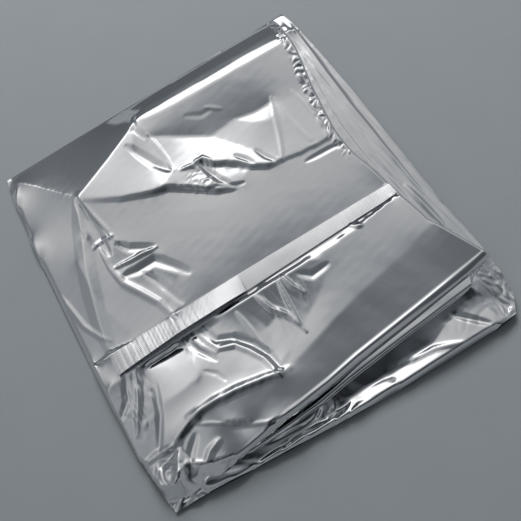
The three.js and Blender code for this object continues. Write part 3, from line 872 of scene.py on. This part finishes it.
# Outlines of the layers as x and y. Neighbouring sides share their corners.
UPPER_NEAR: Points = (
    (-109, -117.5), (-100, -119), (-88, -119), (-80, -118), (-50, -115), (-20, -112), (0, -110),
    (20, -107), (60, -102.5), (100, -97.5), (113.5, -95),
)
UPPER_FAR: Points = ((-111, 128.5), (-60, 129), (20, 128.5), (60, 129), (101, 129))
UPPER_LEFT: Points = (
    (-109, -117.5), (-110, -110), (-111, -100), (-113, -88), (-114.5, -60), (-115, -40), (-115, 60),
    (-113.5, 100), (-112.5, 120), (-111, 128.5),
)
UPPER_RIGHT: Points = (
    (113.5, -95), (107, -79.5), (101, -65), (97.5, -58), (96.5, -51), (94.5, -39), (93, -26.5),
    (90.5, -10.5), (87.5, 2), (86.5, 12), (86.5, 25.5), (89, 42.5), (92.5, 63.5), (96.5, 81.5),
    (98.5, 93), (99, 103.5), (100.5, 116.5), (101, 129),
)
LOWER_NEAR: Points = (
    (-108, -121), (-86, -121.5), (-60, -123.5), (-30, -125.5), (0, -127.5), (30, -129), (62, -129.5),
    (93, -129.3), (106, -128),
)
LOWER_FAR: Points = ((-108, 127), (-60, 127), (20, 127), (60, 128.5), (94, 129), (108, 129.3))
LOWER_LEFT: Points = ((-108, -121), (-111, -88), (-113, -42), (-113, 60), (-111, 110), (-108, 127))
LOWER_RIGHT: Points = (
    (106, -128), (112, -118), (114, -106), (115, -92), (114.5, -75), (113, -45), (112.7, 5),
    (112.7, 48), (111.5, 89), (110, 115), (108, 129.3),
)
UPPER_SIDES = (UPPER_NEAR, UPPER_FAR, UPPER_LEFT, UPPER_RIGHT)
LOWER_SIDES = (LOWER_NEAR, LOWER_FAR, LOWER_LEFT, LOWER_RIGHT)


@dataclass(frozen=True)
class Waves:
    """Small waves or sharp creases of film.

    Attributes:
        height: Height of the waves.
        size: Distance between them.
        seed: Number that fixes the pattern.
        squeeze: Factors on x and y, which draw the waves out where they are less than 1.
        sharp: Whether they are creases.
    """

    height: float
    size: float
    seed: int
    squeeze: tuple[float, float] = (1.0, 1.0)
    sharp: bool = False

    def raised(self, x: Array, y: Array) -> Array:
        """Give the height of the waves at each place."""
        noise = rumple if self.sharp else soft_noise
        return self.height * noise(x * self.squeeze[0], y * self.squeeze[1], self.size, self.seed)


@dataclass(frozen=True)
class CrumpledSpot:
    """An oval of crumpled film.

    Attributes:
        centre: Its middle as x and y.
        reach: Half its length and half its width.
        creases: Its creases.
        turn: How far its length turns from X, in degrees.
    """

    centre: tuple[float, float]
    reach: tuple[float, float]
    creases: Waves
    turn: float = 0.0

    def raised(self, x: Array, y: Array) -> Array:
        """Give the height of the creases, which run out softly towards the rim of the oval.

        Args:
            x: Places along X.
            y: Places along Y.

        Returns:
            Heights of the same shape as x.
        """
        c, s = math.cos(math.radians(self.turn)), math.sin(math.radians(self.turn))
        dx, dy = x - self.centre[0], y - self.centre[1]
        away = ((dx * c + dy * s) / self.reach[0]) ** 2 + ((dy * c - dx * s) / self.reach[1]) ** 2
        return np.clip(1 - away, 0, 1) ** 1.5 * self.creases.raised(x, y)


UPPER_CRUMPLES = (
    CrumpledSpot((-2, -56), (32, 20), Waves(0.16, 12.0, 3, (1.0, 0.4), sharp=True), turn=10),
    CrumpledSpot((2, 46), (14, 16), Waves(0.35, 8.0, 4, sharp=True), turn=-30),
    CrumpledSpot((-97, -103), (18, 18), Waves(0.3, 12.0, 5, sharp=True)),
    CrumpledSpot((-99, -60), (14, 26), Waves(0.2, 8.0, 6, (1.4, 0.5), sharp=True), turn=-20),
)
LOWER_CRUMPLES = (
    CrumpledSpot((107, -112), (15, 22), Waves(0.45, 7.0, 10, (1.0, 0.7), sharp=True)),
)


@dataclass
class BagPart:
    """A part of the bag that is one mesh in one finish.

    Attributes:
        name: Name of the piece.
        film: Its finished material.
    """

    name: str
    film: bpy.types.Material

    def places(self) -> Array:
        """Give the grid of places of the part. Each kind of part has its own."""
        raise NotImplementedError

    def build(self) -> bpy.types.Object:
        """Weave the mesh, dress it and report it.

        Returns:
            The finished piece.
        """
        piece = weave(self.name, self.places())
        self.dress(piece)
        LOG.info("%s: %d faces", piece.name, len(piece.data.polygons))
        return piece

    def dress(self, piece: bpy.types.Object) -> None:
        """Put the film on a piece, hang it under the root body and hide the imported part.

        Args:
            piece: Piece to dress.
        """
        piece.data.materials.append(self.film)
        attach(piece, "root")
        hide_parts(CAD_NODE)


@dataclass
class FilmLayer(BagPart):
    """One layer of film as a height field between four boundary lines.

    Attributes:
        relief: Heights of the layer.
        sides: Near, far, left and right boundary.
        counts: Number of columns and rows.
        crumples: Its crumpled spots.
        lowest: Least height of the layer over the floor.
    """

    relief: Relief
    sides: tuple[Points, Points, Points, Points]
    counts: tuple[int, int]
    crumples: tuple[CrumpledSpot, ...] = ()
    lowest: float = 0.3

    def waves(self, x: Array, y: Array) -> Array:
        """Give the small waves of the layer beside its crumpled spots. Plain film has none."""
        return np.zeros_like(x)

    def bend(self, x: Array, y: Array, z: Array) -> Array:
        """Turn the borders of the layer down. A plain layer keeps its heights."""
        return z

    def places(self) -> Array:
        """Lay the grid between the sides, and give it its heights, waves, crumples and borders.

        Returns:
            Places of shape rows, columns, 3.
        """
        columns, rows = self.counts
        near, far = (curve(side, columns) for side in self.sides[:2])
        left, right = (curve(side, rows) for side in self.sides[2:])
        plan = patch(near, far, left, right)
        x, y = plan[..., 0], plan[..., 1]
        z = self.relief.read(x, y) + self.waves(x, y)
        for spot in self.crumples:
            z = z + spot.raised(x, y)
        return np.dstack([x, y, np.maximum(self.bend(x, y, z), self.lowest)])


@dataclass
class UpperFilm(FilmLayer):
    """The half that lies on top, with its crinkled mouth edge and its fold along the near side.

    Attributes:
        wave: Its long waves.
        ripple: Its short waves.
        crinkle: The crinkles along the mouth.
        crinkle_band: Middle of their band left of the mouth edge, and half its width.
        crinkle_start: Where they begin along Y, and the run over which they grow.
        lip: How far the cut edge of the mouth turns down.
        roll: How far the fold along the near side rolls down.
        full_roll: Height of the film at which it rolls down all the way.
    """

    wave: Waves = Waves(0.04, 30.0, 1)
    ripple: Waves = Waves(0.008, 8.0, 2)
    crinkle: Waves = Waves(0.6, 8.0, 7, (1.0, 0.8), sharp=True)
    crinkle_band: tuple[float, float] = (3.5, 4.5)
    crinkle_start: tuple[float, float] = (2.0, 8.0)
    lip: float = 1.8
    roll: float = 4.2
    full_roll: float = 12.0

    def waves(self, x: Array, y: Array) -> Array:
        """Give faint waves all over and crinkles in a band along the edge of the mouth.

        Args:
            x: Places along X.
            y: Places along Y.

        Returns:
            Heights of the same shape as x.
        """
        edge = np.interp(y, *np.array(UPPER_RIGHT)[:, ::-1].T)
        middle, half = self.crinkle_band
        start, run = self.crinkle_start
        band = np.clip(1 - np.abs(x - edge + middle) / half, 0, 1) * np.clip((y - start) / run, 0, 1)
        z = self.wave.raised(x, y) + self.ripple.raised(x, y)
        return z + band * self.crinkle.raised(x, y)

    def bend(self, x: Array, y: Array, z: Array) -> Array:
        """Turn the mouth edge and the near fold down, each round a quarter of a circle.

        Args:
            x: Places along X.
            y: Places along Y.
            z: Heights before.

        Returns:
            Heights after.
        """
        turned = np.clip(1 - np.hypot(x - x[:, -1:], y - y[:, -1:]) / (self.lip + 0.01), 0, 1)
        z = z - self.lip * (1 - np.sqrt(1 - turned**2))
        bent = np.clip(1 - distance_to(x, y, self.sides[0]) / self.roll, 0, 1)
        bent = bent * np.clip(z / self.full_roll, 0, 1)
        return z - self.roll * (1 - np.sqrt(1 - bent**2))


@dataclass
class LowerFilm(FilmLayer):
    """The half below, with tucks along its near side and long waves at its end.

    Attributes:
        wave: Its long waves.
        tuck: The tucks.
        tuck_band: Where they begin along Y, and the run over which they grow.
        tuck_fade: Where they begin to fade along X, the run of that, and the share that is left.
        strip: The waves beyond the mouth.
        strip_band: Where they begin along X, and the run over which they grow.
    """

    wave: Waves = Waves(0.06, 24.0, 8)
    tuck: Waves = Waves(0.8, 17.0, 9, (0.6, 1.0), sharp=True)
    tuck_band: tuple[float, float] = (-110.0, 8.0)
    tuck_fade: tuple[float, float, float] = (-20.0, 40.0, 0.12)
    strip: Waves = Waves(0.1, 9.0, 11, (2.4, 0.25))
    strip_band: tuple[float, float] = (92.0, 6.0)

    def waves(self, x: Array, y: Array) -> Array:
        """Give long waves all over, tucks along the near side and drawn-out waves at the end.

        Args:
            x: Places along X.
            y: Places along Y.

        Returns:
            Heights of the same shape as x.
        """
        near = np.clip((self.tuck_band[0] - y) / self.tuck_band[1], 0, 1)
        start, run, least = self.tuck_fade
        near = near * np.clip(1 - (x - start) / run, least, 1)
        end = np.clip((x - self.strip_band[0]) / self.strip_band[1], 0, 1)
        z = self.wave.raised(x, y) + near * self.tuck.raised(x, y)
        return z + end * self.strip.raised(x, y)


@dataclass
class InnerLayers(BagPart):
    """The layers between the halves, whose fold looks out below that of the upper half.

    Attributes:
        near: Line of the fold as x and y.
        far: Line that the layers are carried back to.
        counts: Number of columns and rows.
        crown: Height of the layers, as x and height.
        rise: Slope up towards the fold, and the run that it has.
        rounding: Run over which the fold rounds down, and how far.
        wave: Its waves.
    """

    near: Points = (
        (-60, -116.5), (-30, -115.5), (-10, -114.5), (10, -111.8), (50, -108), (94, -104),
    )
    far: Points = ((-60, -108), (-30, -107), (0, -104), (50, -98), (100, -92))
    counts: tuple[int, int] = (420, 40)
    crown: Points = ((-60, 6.5), (-10, 8.6), (20, 9.6), (94, 9.4))
    rise: tuple[float, float] = (0.09, 6.0)
    rounding: tuple[float, float] = (2.2, 3.4)
    wave: Waves = Waves(0.05, 9.0, 12, (0.3, 1.0))

    def places(self) -> Array:
        """Lay a strip between the halves, closer set at its fold, and round the fold down.

        Returns:
            Places of shape rows, columns, 3.
        """
        near, far = curve(self.near, self.counts[0]), curve(self.far, self.counts[0])
        v = (np.linspace(0, 1, self.counts[1]) ** 2)[:, None, None]
        plan = (1 - v) * near[None] + v * far[None]
        x, y = plan[..., 0], plan[..., 1]
        back = y - np.interp(x, *np.array(self.near).T)
        slope, reach = self.rise
        run, drop = self.rounding
        bent = 1 - np.clip(back / run, 0, 1)
        z = np.interp(x, *np.array(self.crown).T) + slope * np.clip(reach - back, 0, reach)
        z = z - drop * (1 - np.sqrt(1 - bent**2 + 1e-9))
        return np.dstack([x, y, z + self.wave.raised(x, y)])


@dataclass
class Underside(BagPart):
    """The film that lies on the floor, turned up at its border to meet the lower half.

    Attributes:
        count: Number of columns and of rows.
        gap: Height over the floor.
        wave: Its waves.
        border: Share of the half width at which it begins to turn up.
        turned: How far it turns up.
    """

    count: int = 120
    gap: float = 0.12
    wave: Waves = Waves(0.1, 40.0, 5)
    border: float = 0.985
    turned: float = 1.2

    def places(self) -> Array:
        """Lay a coarse sheet on the floor under the outline of the lower half, faces down.

        Returns:
            Places of shape rows, columns, 3.
        """
        plan = patch(*(curve(side, self.count) for side in LOWER_SIDES))
        x, y = plan[..., 0], plan[..., 1]
        u = np.abs(np.linspace(-1, 1, self.count))
        out = np.maximum(u[None, :], u[:, None])
        z = self.gap + (self.wave.height + self.wave.raised(x, y)) * (1 - out)
        z = z + self.turned * np.clip(out - self.border, 0, 1) / (1 - self.border)
        return np.dstack([x, y, z])[:, ::-1]


@dataclass
class BackSeam(BagPart):
    """The fin of the back seam: a strip sealed to the upper film along its far edge.

    Attributes:
        relief: Heights of the film that the fin lies on.
        root: Line that it is sealed along, as x and y.
        free: Line of its free edge.
        counts: Number of columns and rows.
        lift: Height over the film at the root, and how much more at the free edge.
        tilt: How much more its left part lifts at the free edge.
        left_part: Middle and half length of that part along X.
        ripple: Its short waves.
        left_ripple: How many times more they rise on the left part.
        bow: Its long waves.
        edge: Rows, run and drop of its rounded free edge.
    """

    relief: Relief
    root: Points = ((-100, -24.4), (-60, -24.4), (0, -24.6), (60, -24.8), (92, -25))
    free: Points = (
        (-101, -40), (-98, -39.6), (-60, -38.4), (0, -36.6), (60, -34.8), (92.5, -34),
    )
    counts: tuple[int, int] = (760, 44)
    lift: tuple[float, float] = (0.25, 0.75)
    tilt: float = 4.2
    left_part: tuple[float, float] = (-58.0, 46.0)
    ripple: Waves = Waves(0.04, 5.0, 31, (1.6, 0.15))
    left_ripple: float = 3.5
    bow: Waves = Waves(0.1, 22.0, 32)
    edge: tuple[int, float, float] = (4, 0.5, 0.8)

    def places(self) -> Array:
        """Lay a strip over the film, rising from its root, and round its free edge down.

        Returns:
            Places of shape rows, columns, 3.
        """
        root, free = curve(self.root, self.counts[0]), curve(self.free, self.counts[0])
        v = np.linspace(0, 1, self.counts[1])[:, None, None]
        plan = (1 - v) * free[None] + v * root[None]
        x, y = plan[..., 0], plan[..., 1]
        out = 1 - v[..., 0]
        z = self.relief.read(x, y) + self.lift[0] + self.lift[1] * out**0.7
        left = np.clip(1 - np.abs(x - self.left_part[0]) / self.left_part[1], 0, 1)
        z += (1 + self.left_ripple * left) * self.ripple.raised(x, y) + self.bow.raised(x, y)
        z += self.tilt * left**0.5 * out
        rows, run, drop = self.edge
        below = 1 - np.linspace(0, 1, rows + 1)[:-1, None]
        edge_y, edge_z = y[0][None] + run * below**2, z[0][None] - drop * below
        x = np.vstack([np.repeat(x[:1], rows, 0), x])
        return np.dstack([x, np.vstack([edge_y, y]), np.vstack([edge_z, z])])


def add_node(
    tree: bpy.types.NodeTree, kind: str, values: dict[int | str, object], **options: object
) -> bpy.types.Node:
    """Add a shader node, choose its options and fill its inputs.

    Args:
        tree: Node tree that gets the node.
        kind: Kind of node, without the word that all shader nodes begin with.
        values: What each input gets, by its name or number. A socket is linked, a value is set.
        options: Settings of the node itself.

    Returns:
        The new node.
    """
    node = tree.nodes.new("ShaderNode" + kind)
    for option, choice in options.items():
        setattr(node, option, choice)
    for key, value in values.items():
        if isinstance(value, bpy.types.NodeSocket):
            tree.links.new(value, node.inputs[key])
        else:
            node.inputs[key].default_value = value
    return node


def blend_colours(
    tree: bpy.types.NodeTree, share: bpy.types.NodeSocket, low: object, high: object
) -> bpy.types.NodeSocket:
    """Mix two colours by a share and give the mixed one."""
    return add_node(tree, "Mix", {0: share, 6: low, 7: high}, data_type="RGBA").outputs[2]


def film_surface() -> bpy.types.NodeTree:
    """Build the group that scuffs and waves the surface of film.

    Fine noise moves the colour and the roughness between their ends, and finer noise still gives
    the height of the waves.

    Returns:
        The node group, which is built once and then found by its name.
    """
    name = "film_surface"
    if name in bpy.data.node_groups:
        return bpy.data.node_groups[name]
    group = bpy.data.node_groups.new(name, "ShaderNodeTree")
    sockets = {
        "INPUT": {
            "Place": "Vector", "Scuffed Colour": "Color", "Clean Colour": "Color",
            "Least Roughness": "Float", "Most Roughness": "Float",
            "Scuff Scale": "Float", "Wave Scale": "Float",
        },
        "OUTPUT": {"Colour": "Color", "Roughness": "Float", "Wave": "Float"},
    }
    for side, kinds in sockets.items():
        for socket, kind in kinds.items():
            group.interface.new_socket(socket, in_out=side, socket_type="NodeSocket" + kind)
    given = group.nodes.new("NodeGroupInput").outputs
    result = group.nodes.new("NodeGroupOutput").inputs
    scuff = add_node(
        group, "TexNoise", {"Vector": given["Place"], "Scale": given["Scuff Scale"], "Detail": 6.0}
    ).outputs["Fac"]
    wave = add_node(
        group, "TexNoise", {"Vector": given["Place"], "Scale": given["Wave Scale"], "Detail": 3.0}
    ).outputs["Fac"]
    ends = {"To Min": given["Least Roughness"], "To Max": given["Most Roughness"]}
    sheen = add_node(group, "MapRange", {"Value": scuff, **ends}).outputs["Result"]
    colour = blend_colours(group, scuff, given["Scuffed Colour"], given["Clean Colour"])
    for socket, value in {"Colour": colour, "Roughness": sheen, "Wave": wave}.items():
        group.links.new(value, result[socket])
    return group


class FilmFace(Enum):
    """Which way the film was worked: plain, or knurled by the sealing bars."""

    PLAIN = "plain"
    KNURLED = "knurled"


@dataclass(frozen=True)
class MetalFilm:
    """Bright aluminium coating under clear film, with faint waves and scuffs.

    Attributes:
        name: Name of the material.
        face: Which way the film was worked.
        colour: Its clean colour.
        scuffed: Share of the colour that is left where it is scuffed.
        roughness: Least and most roughness.
        scales: Scale of the scuffs and of the waves.
        depth: Height that the bumps stand for, in metres.
        wave_strength: Strength of the waves.
        knurl_strength: Strength of the grooves of the sealing bars.
        knurl_scale: Scale of the grooves.
        knurl_turn: How far the grooves turn from the seam to either side, in radians.
    """

    name: str
    face: FilmFace
    colour: tuple[float, float, float] = (0.86, 0.868, 0.885)
    scuffed: float = 0.97
    roughness: tuple[float, float] = (0.065, 0.125)
    scales: tuple[float, float] = (90.0, 160.0)
    depth: float = 0.0002
    wave_strength: float = 0.12
    knurl_strength: float = 0.22
    knurl_scale: float = 400.0
    knurl_turn: float = 0.35

    def make(self) -> bpy.types.Material:
        """Build the material with its scuffs, its waves and, on a seal, its knurl.

        Returns:
            The new material.
        """
        material = bpy.data.materials.new(self.name)
        material.use_nodes = True
        tree = material.node_tree
        place = add_node(tree, "TexCoord", {}).outputs["Object"]
        values = {
            "Place": place,
            "Scuffed Colour": (*[self.scuffed * c for c in self.colour], 1),
            "Clean Colour": (*self.colour, 1),
            "Least Roughness": self.roughness[0],
            "Most Roughness": self.roughness[1],
            "Scuff Scale": self.scales[0],
            "Wave Scale": self.scales[1],
        }
        surface = add_node(tree, "Group", values, node_tree=film_surface()).outputs
        bump = self._press(tree, surface["Wave"], self.wave_strength, {})
        if self.face is FilmFace.KNURLED:
            for turn in (-self.knurl_turn, self.knurl_turn):
                turned = add_node(tree, "Mapping", {"Vector": place, "Rotation": (0, 0, turn)})
                grooves = {"Scale": self.knurl_scale, "Distortion": 1.5, "Detail": 2.0}
                groove = add_node(tree, "TexWave", {"Vector": turned.outputs["Vector"], **grooves})
                bump = self._press(tree, groove.outputs["Fac"], self.knurl_strength, {"Normal": bump})
        shader = tree.nodes["Principled BSDF"]
        shader.inputs["Metallic"].default_value = 1.0
        tree.links.new(surface["Colour"], shader.inputs["Base Color"])
        tree.links.new(surface["Roughness"], shader.inputs["Roughness"])
        tree.links.new(bump, shader.inputs["Normal"])
        return material

    def _press(
        self, tree: bpy.types.NodeTree, height: bpy.types.NodeSocket, strength: float,
        under: dict[int | str, object],
    ) -> bpy.types.NodeSocket:
        """Press a height into the surface.

        Args:
            tree: Node tree of the material.
            height: Height to press in.
            strength: How strongly it is pressed.
            under: Normal of the surface below, if it has one.

        Returns:
            Normal of the pressed surface.
        """
        values = {"Strength": strength, "Distance": self.depth, "Height": height, **under}
        return add_node(tree, "Bump", values).outputs["Normal"]


@dataclass(frozen=True)
class Room:
    """The room that the film mirrors, as brightness by height above the horizon on four sides.

    Attributes:
        far: Heights in degrees with their brightness towards +Y.
        near: The same towards -Y.
        left: The same towards -X.
        right: The same towards +X.
        narrowing: Power that narrows the far and near sides, and that of the left and right ones.
        window: Brightness of the window on the far side.
        window_height: Height of its middle above the horizon, half its height and its soft border.
        window_width: Its turn from +Y to the right, half its width and its soft border, in degrees.
        shade_tint: Tint of the darkest parts, which runs out to white in the bright ones.
    """

    far: Points = (
        (-90, 0.25), (-5, 0.25), (0, 0.10), (10, 0.12), (21, 0.15), (30, 0.35),
        (45, 0.84), (56, 0.58), (64, 0.47), (69, 0.27), (74, 0.15), (90, 0.12),
    )
    near: Points = (
        (-90, 0.2), (-5, 0.2), (0, 0.16), (10, 0.24), (22, 0.24), (30, 0.03), (58, 0.012),
        (70, 0.06), (78, 0.10), (90, 0.12),
    )
    left: Points = (
        (-90, 0.25), (-5, 0.25), (0, 0.20), (12, 0.30), (30, 0.19), (66, 0.20), (74, 0.15),
        (90, 0.12),
    )
    right: Points = (
        (-90, 0.25), (-5, 0.25), (0, 0.20), (12, 0.30), (40, 0.22), (66, 0.22), (74, 0.16),
        (90, 0.12),
    )
    narrowing: tuple[float, float] = (1.2, 1.6)
    window: float = 1.3
    window_height: tuple[float, float, float] = (36.0, 10.5, 3.5)
    window_width: tuple[float, float, float] = (8.0, 30.0, 12.0)
    shade_tint: tuple[float, float, float] = (0.88, 1.0, 1.12)

    def hang(self) -> None:
        """Build the world: the four sides, the window over them, and the tint of the dark parts."""
        world = bpy.data.worlds.new("soft_room")
        bpy.context.scene.world = world
        world.use_nodes = True
        tree = world.node_tree
        place = add_node(tree, "TexCoord", {}).outputs["Generated"]
        x, y, z = add_node(tree, "SeparateXYZ", {0: place}).outputs
        height = self._sum(tree, "DIVIDE", self._sum(tree, "ARCSINE", z), math.pi)
        height = self._sum(tree, "ADD", height, 0.5)
        base = self._sides(tree, x, y, height)
        glow = self._sum(tree, "SUBTRACT", self.window, base)
        glow = self._sum(tree, "MULTIPLY", glow, self._pane(tree, x, y, height))
        bright = self._sum(tree, "ADD", base, glow)
        share = self._sum(tree, "MULTIPLY", bright, 2)
        tint = blend_colours(tree, share, (*self.shade_tint, 1), (1, 1, 1, 1))
        background = tree.nodes["Background"]
        tree.links.new(bright, background.inputs["Strength"])
        tree.links.new(tint, background.inputs["Color"])

    @staticmethod
    def _sum(tree: bpy.types.NodeTree, kind: str, *values: object) -> bpy.types.NodeSocket:
        """Add one sum of sockets and numbers to the world and give its result."""
        return add_node(tree, "Math", dict(enumerate(values)), operation=kind).outputs[0]

    def _sides(
        self, tree: bpy.types.NodeTree, x: bpy.types.NodeSocket, y: bpy.types.NodeSocket,
        height: bpy.types.NodeSocket,
    ) -> bpy.types.NodeSocket:
        """Mix the four sides by how far the direction leans to each.

        Args:
            tree: Node tree of the world.
            x: Direction along X.
            y: Direction along Y.
            height: Its height, 0 straight down and 1 straight up.

        Returns:
            Brightness without the window.
        """
        squares = [self._sum(tree, "MULTIPLY", way, way) for way in (x, y)]
        level = self._sum(tree, "MAXIMUM", self._sum(tree, "ADD", *squares), 1e-6)
        level = self._sum(tree, "SQRT", level)
        east, north = (self._sum(tree, "DIVIDE", way, level) for way in (x, y))
        west, south = (self._sum(tree, "MULTIPLY", way, -1) for way in (east, north))
        deep, wide = self.narrowing
        sides = (
            (self.far, north, deep), (self.near, south, deep), (self.left, west, wide),
            (self.right, east, wide),
        )
        total: object = 0.0
        weight: object = 0.0
        for stops, lean, power in sides:
            share = self._sum(tree, "POWER", self._sum(tree, "MAXIMUM", lean, 0), power)
            ramp = add_node(tree, "FloatCurve", {"Value": height})
            line = ramp.mapping.curves[0]
            for angle, value in stops[1:-1]:
                line.points.new(angle / 180 + 0.5, value / 2)
            line.points[0].location = (0, stops[0][1] / 2)
            line.points[-1].location = (1, stops[-1][1] / 2)
            for point in line.points:
                point.handle_type = "VECTOR"
            ramp.mapping.update()
            part = self._sum(tree, "MULTIPLY", ramp.outputs[0], 2)
            total = self._sum(tree, "ADD", total, self._sum(tree, "MULTIPLY", part, share))
            weight = self._sum(tree, "ADD", weight, share)
        return self._sum(tree, "DIVIDE", total, weight)

    def _pane(
        self, tree: bpy.types.NodeTree, x: bpy.types.NodeSocket, y: bpy.types.NodeSocket,
        height: bpy.types.NodeSocket,
    ) -> bpy.types.NodeSocket:
        """Tell how far a direction looks through the window, fading over its soft border.

        Args:
            tree: Node tree of the world.
            x: Direction along X.
            y: Direction along Y.
            height: Its height, 0 straight down and 1 straight up.

        Returns:
            1 inside the window and 0 outside.
        """
        middle, half, border = (angle / 180 for angle in self.window_height)
        turn, reach, fade = (math.radians(angle) for angle in self.window_width)
        rise = self._sum(tree, "SUBTRACT", height, middle + 0.5)
        side = self._sum(tree, "SUBTRACT", self._sum(tree, "ARCTAN2", x, y), turn)
        pane: object = 1.0
        for off, most, soft in ((rise, half, border), (side, reach, fade)):
            left = self._sum(tree, "SUBTRACT", most, self._sum(tree, "ABSOLUTE", off))
            kept = self._sum(tree, "MAXIMUM", self._sum(tree, "DIVIDE", left, soft), 0)
            pane = self._sum(tree, "MULTIPLY", pane, self._sum(tree, "MINIMUM", kept, 1))
        return pane


@dataclass(frozen=True)
class CeilingLight:
    """A broad soft light overhead, for the floor and the shadows. The film doesn't mirror it.

    Attributes:
        height: Height over the floor in metres.
        lean: Its place over the floor as x and y, in metres.
        size: Length of its sides in metres.
        power: Its power in watts.
    """

    height: float = 1.0
    lean: tuple[float, float] = (0.4, 1.0)
    size: float = 0.7
    power: float = 15.6

    def hang(self) -> None:
        """Hang the light over the bag, aimed at it."""
        data = bpy.data.lights.new("ceiling_light", "AREA")
        data.shape = "SQUARE"
        data.size = self.size
        data.energy = self.power
        lamp = bpy.data.objects.new("ceiling_light", data)
        bpy.context.scene.collection.objects.link(lamp)
        lamp.location = (*self.lean, self.height)
        lamp.rotation_euler = (-lamp.location).to_track_quat("-Z", "Y").to_euler()
        lamp.visible_glossy = False
        lamp.visible_camera = False


@dataclass(frozen=True)
class Camera:
    """The viewing angle of the photograph, fitted to the corners of the bag.

    Attributes:
        azimuth: Turn of the viewer round the bag from -Y, in degrees.
        elevation: Height of the viewer over the floor, in degrees.
        roll: Turn of the picture about the line of sight, in degrees.
        distance: Distance from the viewer to the target.
        target: Place that the camera looks at.
        focal: Focal length in picture points.
        picture: Width of the picture in picture points.
        sensor: Width of the sensor.
    """

    azimuth: float = -5.8
    elevation: float = 66.1
    roll: float = -26.3
    distance: float = 452.7
    target: tuple[float, float, float] = (4.2, -19.3, 0.0)
    focal: float = 750.0
    picture: float = 521.0
    sensor: float = 36.0

    def place(self) -> None:
        """Make the camera, aim it and turn it about its line of sight."""
        a, e, r = (math.radians(v) for v in (self.azimuth, self.elevation, self.roll))
        back = Vector((math.sin(a) * math.cos(e), -math.cos(a) * math.cos(e), math.sin(e)))
        right = (-back).cross(Vector((0, 0, 1))).normalized()
        up = back.cross(right)
        across = right * math.cos(r) + up * math.sin(r)
        over = up * math.cos(r) - right * math.sin(r)
        data = bpy.data.cameras.new("photograph_view")
        data.sensor_width = self.sensor
        data.lens = self.focal / self.picture * self.sensor
        data.clip_start = 0.01
        camera = bpy.data.objects.new("photograph_view", data)
        bpy.context.scene.collection.objects.link(camera)
        place = (Vector(self.target) + back * self.distance) * MM
        turned = Matrix((across, over, back)).transposed().to_4x4()
        camera.matrix_world = Matrix.Translation(place) @ turned
        bpy.context.scene.camera = camera


@dataclass(frozen=True)
class Floor:
    """Plain pale floor with a faint mottle.

    Attributes:
        half: Half the length of its sides in metres.
        colour: Its middle colour.
        mottle: Scale of the mottle, and how far it moves the colour up and down.
        roughness: Roughness of the floor.
    """

    half: float = 3.0
    colour: tuple[float, float, float] = (0.315, 0.340, 0.358)
    mottle: tuple[float, float] = (30.0, 0.03)
    roughness: float = 0.7

    def lay(self) -> None:
        """Lay the floor and keep it out of the object."""
        h = self.half
        mesh = bpy.data.meshes.new("floor")
        mesh.from_pydata([(-h, -h, 0), (h, -h, 0), (h, h, 0), (-h, h, 0)], [], [(0, 1, 2, 3)])
        floor = bpy.data.objects.new("floor", mesh)
        bpy.context.scene.collection.objects.link(floor)
        material = bpy.data.materials.new("pale_floor")
        material.use_nodes = True
        tree = material.node_tree
        place = add_node(tree, "TexCoord", {}).outputs["Object"]
        scale, spread = self.mottle
        noise = add_node(tree, "TexNoise", {"Vector": place, "Scale": scale}).outputs["Fac"]
        low, high = ((*[f * c for c in self.colour], 1) for f in (1 - spread, 1 + spread))
        shader = tree.nodes["Principled BSDF"]
        shader.inputs["Roughness"].default_value = self.roughness
        tree.links.new(blend_colours(tree, noise, low, high), shader.inputs["Base Color"])
        floor.data.materials.append(material)


def main() -> None:
    """Build the bag part by part, then set up the floor, room, light and camera."""
    logging.basicConfig(level=logging.INFO, format="%(message)s")
    bright = MetalFilm("bright_film", FilmFace.PLAIN).make()
    sealed = MetalFilm("sealed_film", FilmFace.KNURLED).make()
    upper = Relief((-116, 116, -122, 130), UPPER_PANELS, UPPER_HOLDS, UPPER_STEPS, UPPER_RIDGES)
    lower = Relief((-116, 116, -132, 131), LOWER_PANELS, LOWER_HOLDS, LOWER_STEPS, LOWER_RIDGES)
    upper_film = UpperFilm(
        "upper_film", bright, upper, UPPER_SIDES, (296, 336), UPPER_CRUMPLES
    ).build()
    lower_film = LowerFilm(
        "lower_film", bright, lower, LOWER_SIDES, (290, 330), LOWER_CRUMPLES
    ).build()
    inner = InnerLayers("inner_layers", bright).build()
    seam = BackSeam("back_seam", sealed, upper).build()
    underside = Underside("underside_film", bright).build()
    Floor().lay()
    Room().hang()
    CeilingLight().hang()
    Camera().place()
    bpy.context.scene.view_settings.view_transform = "Standard"


if __name__ == "__main__":
    main()
